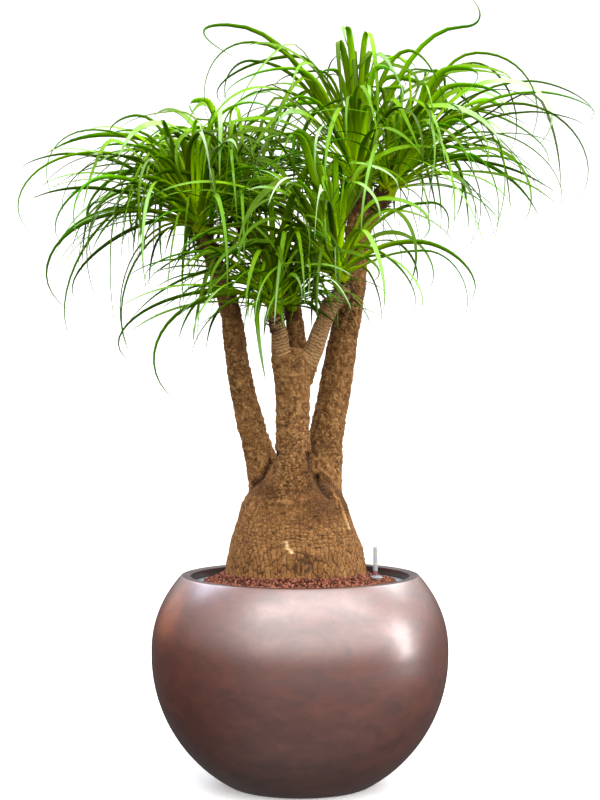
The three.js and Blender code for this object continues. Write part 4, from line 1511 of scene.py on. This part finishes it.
@dataclass(frozen=True)
class Room:
    """The room that the loose blades keep to: the plant's outline as the front view shows it, and its depth.

    Each row is x, the lowest z and the highest z, in millimetres at the trunk's depth.
    """

    eye_distance: float = 3600.0
    eye_height: float = 775.0
    depth: tuple[float, float] = (-340.0, 410.0)
    clearing: tuple[tuple[float, float], tuple[float, float]] = ((86.0, 150.0), (850.0, 978.0))
    rows: tuple[tuple[float, float, float], ...] = (
        (-465, 960, 1060), (-446, 900, 1085), (-393, 745, 1095), (-330, 690, 1125), (-247, 665, 1135),
        (-205, 665, 1140), (-160, 710, 1235), (-110, 765, 1255), (0, 770, 1245), (60, 765, 1262),
        (110, 765, 1265), (170, 765, 1225), (225, 790, 1215), (282, 815, 1215), (367, 930, 1195),
        (440, 970, 1165), (495, 1080, 1125),
    )

    def holds(self, line: np.ndarray) -> bool:
        """Returns whether a line stays in the room."""
        x, low, high = np.array(self.rows, dtype=float).T
        nearness = 1 / (1 + line[:, 1] / self.eye_distance)
        seen_x = line[:, 0] * nearness
        seen_z = self.eye_height + (line[:, 2] - self.eye_height) * nearness
        inside = (seen_x > x[0]) & (seen_x < x[-1])
        inside &= (seen_z > np.interp(seen_x, x, low)) & (seen_z < np.interp(seen_x, x, high))
        inside &= (line[:, 1] > self.depth[0]) & (line[:, 1] < self.depth[1])
        return bool(inside.all())

    def clear(self, line: np.ndarray) -> bool:
        """Returns whether a line leaves the view of the tall stem under the top heads open."""
        (left, right), (low, high) = self.clearing
        crossing = (line[:, 0] > left) & (line[:, 0] < right) & (line[:, 2] > low) & (line[:, 2] < high)
        return not bool((crossing & (line[:, 1] < 110)).any())

    def fitted(self, line: np.ndarray, root: np.ndarray) -> np.ndarray:
        """Shortens a line about its root until it stays in the room.

        Args:
            line: the line's points.
            root: its first point.

        Returns:
            The line, as long as the room lets it be.
        """
        for share in np.arange(1.0, 0.3, -0.07):
            fitted = root + (line - root) * share
            if self.holds(fitted):
                break
        return fitted


class Canopy:
    """The leaves of all the heads together, for the shade that they give each other."""

    FULL_SHADE = 0.55
    ABOVE, AHEAD, ASIDE = 0.35, 0.35, 0.15

    def __init__(self, blades: Sequence[Blade], cell: float = 30.0) -> None:
        """Adds up the leaf area over space and how open each place is to the light.

        Args:
            blades: every head's blades.
            cell: the size of the cells it is added up in, in millimetres.
        """
        lines = np.concatenate([blade.line for blade in blades])
        areas = np.concatenate(
            [blade.width * np.linalg.norm(np.gradient(blade.line, axis=0), axis=1) for blade in blades]
        )
        self.cell = cell
        self.low = lines.min(axis=0) - 2 * cell
        place = ((lines - self.low) / cell).astype(int)
        leaf = np.zeros(place.max(axis=0) + 3)
        np.add.at(leaf, tuple(place.T), areas / cell**2)
        for axis in (0, 1, 2, 0, 1, 2):
            leaf = (np.roll(leaf, 1, axis) + 2 * leaf + np.roll(leaf, -1, axis)) / 4
        shades = (
            (self.ABOVE, np.cumsum(leaf[:, :, ::-1], axis=2)[:, :, ::-1]),
            (self.AHEAD, np.cumsum(leaf, axis=1)),
            (self.ASIDE, np.cumsum(leaf, axis=0)),
            (self.ASIDE, np.cumsum(leaf[::-1], axis=0)[::-1]),
        )
        self.openness = sum(share * np.exp(-depth / self.FULL_SHADE) for share, depth in shades)

    def light(self, points: np.ndarray) -> np.ndarray:
        """Returns how open the canopy is at points, from 0 deep inside to 1 in the free air."""
        place = np.clip(((points - self.low) / self.cell).astype(int), 0, np.array(self.openness.shape) - 1)
        return self.openness[tuple(place.T)]


@dataclass
class Crown:
    """A head's foliage: its blades, each a folded strap with two faces and a fine edge."""

    head: Head
    room: Room = Room()
    stations: int = 24
    thickness: float = 0.6
    fold: float = 0.5
    flattening: float = 0.75
    rib: float = 0.6
    tip_width: float = 0.04
    tip_thickness: float = 0.45
    clasp: tuple[float, float] = (0.7, 0.11)
    taper_start: float = 0.2
    steepest: float = 3.0
    crease_length: float = 0.022
    shade_start: float = 0.12
    shade_end: float = 0.28
    shade_light: float = 0.46
    most_light: float = 1.08
    sheaths: int = 26
    across: tuple[float, ...] = (-1.0, -0.52, 0.0, 0.52, 1.0)
    core: tuple[tuple[float, float], ...] = (
        (0.0, 0.0), (0.0, 0.9), (0.35, 1.02), (0.9, 1.1), (1.5, 1.02), (2.2, 0.86), (2.9, 0.6), (3.5, 0.3),
        (3.7, 0.0),
    )
    core_sides: int = 30
    core_ridges: int = 6
    core_ridge_depth: float = 0.07

    def root_point(self, heading: np.ndarray, age: float) -> np.ndarray:
        """Where a blade grows from: low for the old outer ones, high for the young inner ones.

        Args:
            heading: the level direction that the blade leans in.
            age: 0 for the innermost blade to 1 for the outermost.

        Returns:
            The root's place.
        """
        head = self.head
        rise = head.radius * (2.2 - 2.2 * age)
        return head.middle() + rise * head.pointing() + head.radius * (0.1 + 0.6 * age) * heading

    def arched_line(
        self, root: np.ndarray, apex: np.ndarray, tip: np.ndarray, reach: float
    ) -> tuple[np.ndarray, np.ndarray]:
        """Draws a blade's line up from its root, over its apex and down to its tip.

        Args:
            root: where it starts.
            apex: its highest place.
            tip: where it ends.
            reach: how far it runs on past the apex before it falls.

        Returns:
            The line's points and its level heading.
        """
        middle = ((apex + tip) / 2 - root) * [1, 1, 0]
        heading = unit(middle) if np.linalg.norm(middle) > 1 else np.array([1.0, 0.0, 0.0])
        out = float((apex - root) @ heading)
        rise, drop = apex[2] - root[2], apex[2] - tip[2]
        before = apex - (0.45 * abs(out) + 3) * heading
        split = self.stations * 2 // 5
        points = []
        for (a, b, c, d), count, closed in (
            ((root, root + 0.55 * rise * UP + 0.35 * out * heading, before, apex), split, False),
            (
                (apex, apex + reach * heading, tip + 0.35 * drop * UP + 0.6 * reach * heading, tip),
                self.stations - split, True,
            ),
        ):
            t = np.linspace(0, 1, count, endpoint=closed)[:, None]
            r = 1 - t
            points.append(r**3 * a + 3 * r * r * t * b + 3 * r * t * t * c + t**3 * d)
        return np.concatenate(points), heading

    def bent_line(
        self, root: np.ndarray, angle: float, length: float, start: float, bend: float, crease: float,
        crease_at: float, drift: float,
    ) -> tuple[np.ndarray, np.ndarray]:
        """Draws a blade's line as a strip that sinks under its own weight.

        Args:
            root: where it starts.
            angle: its level heading, in radians.
            length: its length.
            start: its slope from upright at the root, in radians.
            bend: how much it bends over its length.
            crease: how much more it bends where it is creased.
            crease_at: the share of the length where the crease is.
            drift: how much the heading turns along the blade.

        Returns:
            The line's points and its level heading.
        """
        t = (np.arange(self.stations - 1) + 0.5) / (self.stations - 1)
        slope = start + bend * t**1.25 + crease / (1 + np.exp((crease_at - t) / self.crease_length))
        slope = np.minimum(slope, self.steepest + 0.1 * t)
        way = angle + drift * t
        steps = np.stack([np.sin(slope) * np.cos(way), np.sin(slope) * np.sin(way), np.cos(slope)], axis=1)
        steps = unit(steps + self.head.pointing() * [1, 1, 0] * (1 - t)[:, None])
        line = np.concatenate([root[None], root + np.cumsum(steps, axis=0) * length / len(t)])
        return line, towards(angle + drift / 2)

    def leading_blade(self, row: Sequence[float], random: RandomStream) -> Blade:
        """Makes a blade from its row of chosen numbers.

        Args:
            row: the numbers that Head describes.
            random: the blade's own stream.

        Returns:
            The blade, turned so that its underside faces the front.
        """
        apex_x, apex_z, tip_x, tip_z, tip_y, reach, width = row
        heart = self.head.middle()
        heading = unit(np.array([apex_x + tip_x, 1.45 * tip_y, 0.0]))
        age = min(1.0, max(0.05, 1 - apex_z / 160))
        apex, tip = heart + [apex_x, 0.45 * tip_y, apex_z], heart + [tip_x, tip_y, tip_z]
        line, level = self.arched_line(self.root_point(heading, age), apex, tip, reach)
        twist = level[0] * (0.25 + 0.75 * random.draw())
        width *= self.head.stoutness
        return Blade(line, level, width, twist, max(age, 0.35), 0.1 + 0.6 * random.draw(), 0.2)

    def spiral_blade(self, place: int, random: RandomStream) -> Blade:
        """Makes the blade of a given place in the head's spiral: the inner ones stand, the outer ones hang.

        Args:
            place: its place, from the innermost.
            random: the blade's own stream.

        Returns:
            The blade.
        """
        head = self.head
        age = (place + 0.5) / head.leaves
        heading = towards(place * GOLDEN_ANGLE + random.swing(0.5))
        length = head.length * (0.72 + 0.38 * random.draw()) * (0.82 + 0.18 * math.sin(math.pi * age))
        rise = length * (head.rise * (1 - 0.8 * age) + random.swing(0.08))
        drop = length * (0.08 + head.hang * age * (0.6 + 0.5 * random.draw()))
        apex_out = length * (0.09 + 0.3 * age)
        tip_out = apex_out + length * (0.07 + 0.17 * random.draw())
        root = self.root_point(heading, age)
        lean = 0.75 * rise * (head.pointing() * [1, 1, 0])
        apex = root + rise * UP + apex_out * heading + lean
        tip = root + (rise - drop) * UP + tip_out * heading + lean
        width = head.width * (0.7 + 0.45 * random.draw()) * (1.2 - 0.45 * age)
        line, level = self.arched_line(root, apex, tip, 0.16 * length)
        return Blade(line, level, width, random.swing(2.2), age, random.draw())

    def filling_blade(self, place: int, random: RandomStream) -> Blade:
        """Makes one of the many blades that fill the head between those of the solids.

        Args:
            place: its place among them, from the innermost.
            random: the blade's own stream.

        Returns:
            The blade: an inner one stands up and may be creased, an outer one arches and hangs.
        """
        head = self.head
        age = ((place + 0.5) / head.filling) ** 0.9
        angle = place * GOLDEN_ANGLE + 1.1 + random.swing(1.2)
        start = 0.12 + 1.2 * age + random.swing(0.3)
        bend = max(0.25, 1.8 + 0.3 * age + 1.1 * random.draw() - start)
        creased = random.draw() < 0.55 - 0.4 * age
        crease = (1.1 + 1.1 * random.draw()) if creased else 0.0
        if creased:
            bend *= 0.35
        crease_at = 0.36 + 0.26 * random.draw()
        drift = random.swing(1.5)
        length = head.length * (0.2 + 0.58 * head.rise / 0.5 + random.swing(0.42)) * (1.0 - 0.1 * age)
        root = self.root_point(towards(angle), age)
        line, level = self.bent_line(root, angle, length, start, bend, crease, crease_at, drift)
        line = self.room.fitted(line, root)
        width = head.width * (0.47 + 0.6 * random.draw() ** 2) * (1.5 - 0.75 * age)
        return Blade(line, level, width, random.swing(3.0), age, random.draw(), 0.7)

    def sheath(self, place: int, random: RandomStream) -> Blade:
        """Makes one of the dead sheaths that stand in a frayed collar round the head's foot.

        Args:
            place: its place round the foot.
            random: the sheath's own stream.

        Returns:
            The sheath, as a short broad blade.
        """
        head = self.head
        axis = head.pointing()
        out = head.around(np.array(place * GOLDEN_ANGLE))
        root = head.middle() - axis * head.radius * (3.2 - 1.8 * random.draw()) + out * head.radius * 0.9
        length = head.radius * (0.9 + 1.3 * random.draw())
        flare = head.radius * (0.1 + 0.35 * random.draw())
        apex = root + axis * length * 0.7 + out * flare * 0.6
        tip = root + axis * length + out * (flare + 2)
        line, _ = self.arched_line(root, apex, tip, 1.0)
        width = head.radius * (0.5 + 0.5 * random.draw())
        level = unit(out * [1, 1, 0])
        return Blade(line, level, width, random.swing(0.9), 1.0, random.draw(), finish=LeafSide.SHEATH)

    def blades(self) -> list[Blade]:
        """Returns all the head's blades: leading ones, the solids' spiral, the filling and the sheaths."""
        head = self.head
        base = 1000 * (head.number + 1)
        lead = 9000 + 100 * head.number
        grown = [self.leading_blade(row, RandomStream(lead + i)) for i, row in enumerate(head.leading)]
        grown += [self.spiral_blade(i, RandomStream(base + i)) for i in range(head.leaves)]
        filling = [self.filling_blade(i, RandomStream(50000 + base + i)) for i in range(head.filling)]
        grown += [blade for blade in filling if self.room.clear(blade.line)]
        return grown + [self.sheath(i, RandomStream(90000 + base + i)) for i in range(self.sheaths)]

    def add_blade(self, blade: Blade, canopy: Canopy, parts: MeshParts) -> None:
        """Adds one blade's mesh.

        Args:
            blade: the blade.
            canopy: what shades it.
            parts: the crown's mesh so far.
        """
        points = blade.line
        tangents = unit(np.gradient(points, axis=0))
        steps = np.linalg.norm(np.diff(points, axis=0), axis=1)
        along = np.concatenate([[0], np.cumsum(steps)]) / steps.sum()
        level = unit(np.cross(blade.heading, UP))
        side = unit(level - (tangents @ level)[:, None] * tangents)
        turn = blade.twist * np.clip(along / blade.turn_over, 0, 1) ** 1.3
        upper = np.cross(side, tangents)
        side = side * np.cos(turn)[:, None] + upper * np.sin(turn)[:, None]
        upper = np.cross(side, tangents)
        clasp = self.clasp[0] * np.clip(1 - along / self.clasp[1], 0, 1) ** 1.5
        taper = 1 - np.clip((along - self.taper_start) / (1 - self.taper_start), 0, 1) ** 2.3
        half = 0.5 * blade.width * (clasp + (1 - self.tip_width) * taper + self.tip_width)
        fold = self.fold * (1 - self.flattening * along)
        ring = len(self.across)
        rows = []
        for share in self.across:
            lift = abs(share) ** 1.2 * np.sin(fold) * half
            rows.append(points + side * (share * np.cos(fold) * half)[:, None] + upper * lift[:, None])
        thinned = self.tip_thickness + (1 - self.tip_thickness) * np.clip(1 - along, 0, 1)
        skin = self.thickness * thinned
        for share in self.across[-2:0:-1]:
            index = self.across.index(share)
            rows.append(rows[index] - upper * (skin * (1 + self.rib * (share == 0)))[:, None])
        grid = np.stack(rows, axis=1)
        count, sides, _ = grid.shape
        finish = np.zeros((count - 1, sides), dtype=np.int32)
        finish[:, ring - 1 :] = LeafSide.UNDER.value
        if blade.finish:
            finish[:] = blade.finish.value
        foot, tip = np.arange(sides), np.arange(sides) + (count - 1) * sides
        caps = [
            np.concatenate([foot[corners], tip[corners][:, ::-1]])
            for corners in (np.array([(0, 1, 7), (3, 4, 5)]), np.array([(1, 2, 6, 7), (2, 3, 5, 6)]))
        ]
        across = np.array([*self.across, *self.across[-2:0:-1]]) * 0.5 + 0.5
        tint = np.empty((count, sides, 4))
        tint[..., 0] = along[:, None]
        tint[..., 1] = across[None]
        shaded = np.clip((along - self.shade_start) / (self.shade_end - self.shade_start), 0, 1)
        light = np.clip(self.shade_light + 2 * canopy.light(points), 0, self.most_light)
        tint[..., 2] = (blade.tone * (1 - shaded * (1 - light)))[:, None]
        tint[..., 3] = blade.age
        parts.add(
            grid.reshape(-1, 3) * MM, [ring_faces(count, sides), *caps], tint.reshape(-1, 4),
            [finish.ravel(), *(np.full(len(corners), finish[0, 0]) for corners in caps)],
        )

    def add_core(self, parts: MeshParts) -> None:
        """Adds the core of clasping leaf feet that the blades come out of.

        Args:
            parts: the crown's mesh so far.
        """
        head = self.head
        axis = head.pointing()
        foot = head.middle() - axis * (head.radius - 0.3)
        sides = self.core_sides
        angles = 2 * math.pi * np.arange(sides) / sides
        rows, shares = [], []
        for rise, share in self.core:
            ridge = np.cos(self.core_ridges * angles + 2.2 * rise)
            ridged = share * (1 + self.core_ridge_depth * ridge) * head.radius
            rows.append(foot + axis * rise * head.radius + head.around(angles) * ridged[:, None])
            shares.append(np.full(sides, 0.02 + 0.05 * rise / 3.7))
        quads = ring_faces(len(rows), sides)
        along = np.concatenate(shares)
        middling = np.full(len(along), 0.5)
        tint = np.stack([along, np.tile(angles, len(rows)), 0.6 * middling, middling], axis=1)
        parts.add(np.concatenate(rows) * MM, [quads], tint, [np.full(len(quads), LeafSide.UNDER.value)])

    def build(self, blades: Sequence[Blade], canopy: Canopy, finishes: Sequence[bpy.types.Material]) -> None:
        """Builds the head's foliage.

        Args:
            blades: the head's blades.
            canopy: the leaves of all the heads.
            finishes: the materials, in the order of LeafSide.
        """
        parts = MeshParts()
        self.add_core(parts)
        for blade in blades:
            self.add_blade(blade, canopy, parts)
        piece = parts.build(self.head.node.replace("crown", "foliage"))
        merge_axis_points(piece)
        dress(piece, finishes, replaces=self.head.node)


# ---------------------------------------------------------------- studio


@dataclass(frozen=True)
class SoftBox:
    """A flat soft light."""

    name: str
    place: tuple[float, float, float]
    aim: tuple[float, float, float]
    width: float
    height: float
    power: float
    colour: str = "#FFFFFF"

    def build(self) -> None:
        """Hangs the light."""
        data = bpy.data.lights.new(self.name, "AREA")
        data.shape = "RECTANGLE"
        data.size = self.width
        data.size_y = self.height
        data.energy = self.power
        data.color = linear(self.colour)[:3]
        lamp = add_object(self.name, data)
        lamp.location = self.place
        lamp.rotation_euler = (Vector(self.aim) - Vector(self.place)).to_track_quat("-Z", "Y").to_euler()


@dataclass
class Studio:
    """A pale paper sweep, soft lights, an open studio around them, and the camera."""

    camera_distance: float = 3.6
    camera_height: float = 0.775
    camera_pitch: float = -2.0
    frame_height: float = 1.3427
    sensor_width: float = 36.0
    sweep_width: float = 16.0
    sweep_front: float = -7.0
    sweep_back: float = 6.5
    sweep_radius: float = 2.2
    sweep_height: float = 7.0
    air: float = 2.9
    lights: tuple[SoftBox, ...] = (
        SoftBox("key_overhead", (0.4, -1.6, 3.3), (0.0, 0.0, 0.7), 5.6, 1.7, 92.0),
        SoftBox("tall_right", (3.1, -0.25, 0.82), (0.0, 0.0, 0.4), 0.7, 1.6, 29.0),
        SoftBox("warm_left", (-2.3, 1.9, 0.8), (0.0, 0.0, 0.3), 1.4, 1.1, 9.0, "#B4683E"),
        SoftBox("back_left", (-2.2, 1.8, 3.0), (0.0, 0.0, 0.7), 2.2, 1.6, 62.0, "#E4EAFF"),
        SoftBox("back_right", (2.4, 1.8, 3.0), (0.0, 0.0, 0.7), 2.0, 1.6, 52.0),
    )

    def build_sweep(self) -> None:
        """Builds the paper sweep: the floor, a curve and the wall behind. It doesn't light the plant."""
        curve = [
            (self.sweep_back + self.sweep_radius * math.sin(t), self.sweep_radius * (1 - math.cos(t)))
            for t in (math.pi / 2 * i / 16 for i in range(17))
        ]
        line = [(self.sweep_front, 0.0), *curve, (curve[-1][0], self.sweep_height)]
        half = self.sweep_width / 2
        points = np.array([(side * half, y, z) for y, z in line for side in (-1, 1)])
        start = 2 * np.arange(len(line) - 1)
        parts = MeshParts()
        parts.add(points, [np.stack([start, start + 1, start + 3, start + 2], axis=1)])
        sweep = parts.build("paper_sweep")
        sweep.data.materials.append(StudioPaper().build())
        sweep.visible_diffuse = False
        sweep.visible_glossy = False

    def build_camera(self) -> None:
        """Sets up the camera at the height and distance of the view from the front."""
        data = bpy.data.cameras.new("front_camera")
        data.sensor_width = self.sensor_width
        data.lens = self.sensor_width * self.camera_distance / self.frame_height
        camera = add_object("front_camera", data)
        camera.location = (0.0, -self.camera_distance, self.camera_height)
        camera.rotation_euler = (math.radians(90 + self.camera_pitch), 0.0, 0.0)
        bpy.context.scene.camera = camera

    def build_air(self) -> None:
        """Sets the even light of a large studio: bright walls, brightest in front, over a dark floor."""
        world = bpy.data.worlds.new("studio_air")
        world.use_nodes = True
        world.node_tree.nodes.clear()
        node = partial(add_node, world.node_tree)
        x, y, z = node("SeparateXYZ", {0: node("TexCoord").outputs["Generated"]}).outputs
        level = None
        for way, low, high, low_share, high_share in (
            (z, 0.02, 0.36, 0.08, 1.0), (y, -0.45, 0.5, self.air, 1.0), (x, -0.95, -0.35, 0.3, 1.0),
            (z, 0.45, 0.9, 1.0, 0.55),
        ):
            share = node(
                "MapRange",
                {"Value": way, "From Min": low, "From Max": high, "To Min": low_share, "To Max": high_share},
                interpolation_type="SMOOTHSTEP",
            )
            level = node("Math", {0: level, 1: share}, operation="MULTIPLY") if level else share
        air = node("Background", {"Color": linear("#FFFFFF"), "Strength": level})
        node("OutputWorld", {"Surface": air})
        bpy.context.scene.world = world
        bpy.context.scene.view_settings.view_transform = "Standard"

    def build(self) -> None:
        """Builds the camera, the sweep, the lights and the light of the room."""
        self.build_camera()
        self.build_sweep()
        for light in self.lights:
            light.build()
        self.build_air()


def main() -> None:
    """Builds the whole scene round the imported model."""
    logging.basicConfig(level=logging.INFO, format="%(name)s: %(message)s")
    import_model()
    Studio().build()
    Planter().build()
    Liner().build()
    GranuleBed().build()
    WaterGauge().build()
    Trunk().build()
    finishes = [
        StrapLeaf("strap_leaf_upper", foot="#C2DA1C", young="#98C81C", full="#7CAA34", tip="#6E9E3A").build(),
        StrapLeaf(
            "strap_leaf_under", foot="#C6DE10", young="#98CC04", full="#559608", tip="#448408",
            roughness=0.5, gloss=0.04, painted_sheen_saturation=0.95,
        ).build(),
        DrySheath().build(),
    ]
    crowns = [Crown(head) for head in HEADS]
    grown = [crown.blades() for crown in crowns]
    canopy = Canopy([blade for blades in grown for blade in blades])
    for crown, blades in zip(crowns, grown):
        crown.build(blades, canopy, finishes)


if __name__ == "__main__":
    main()
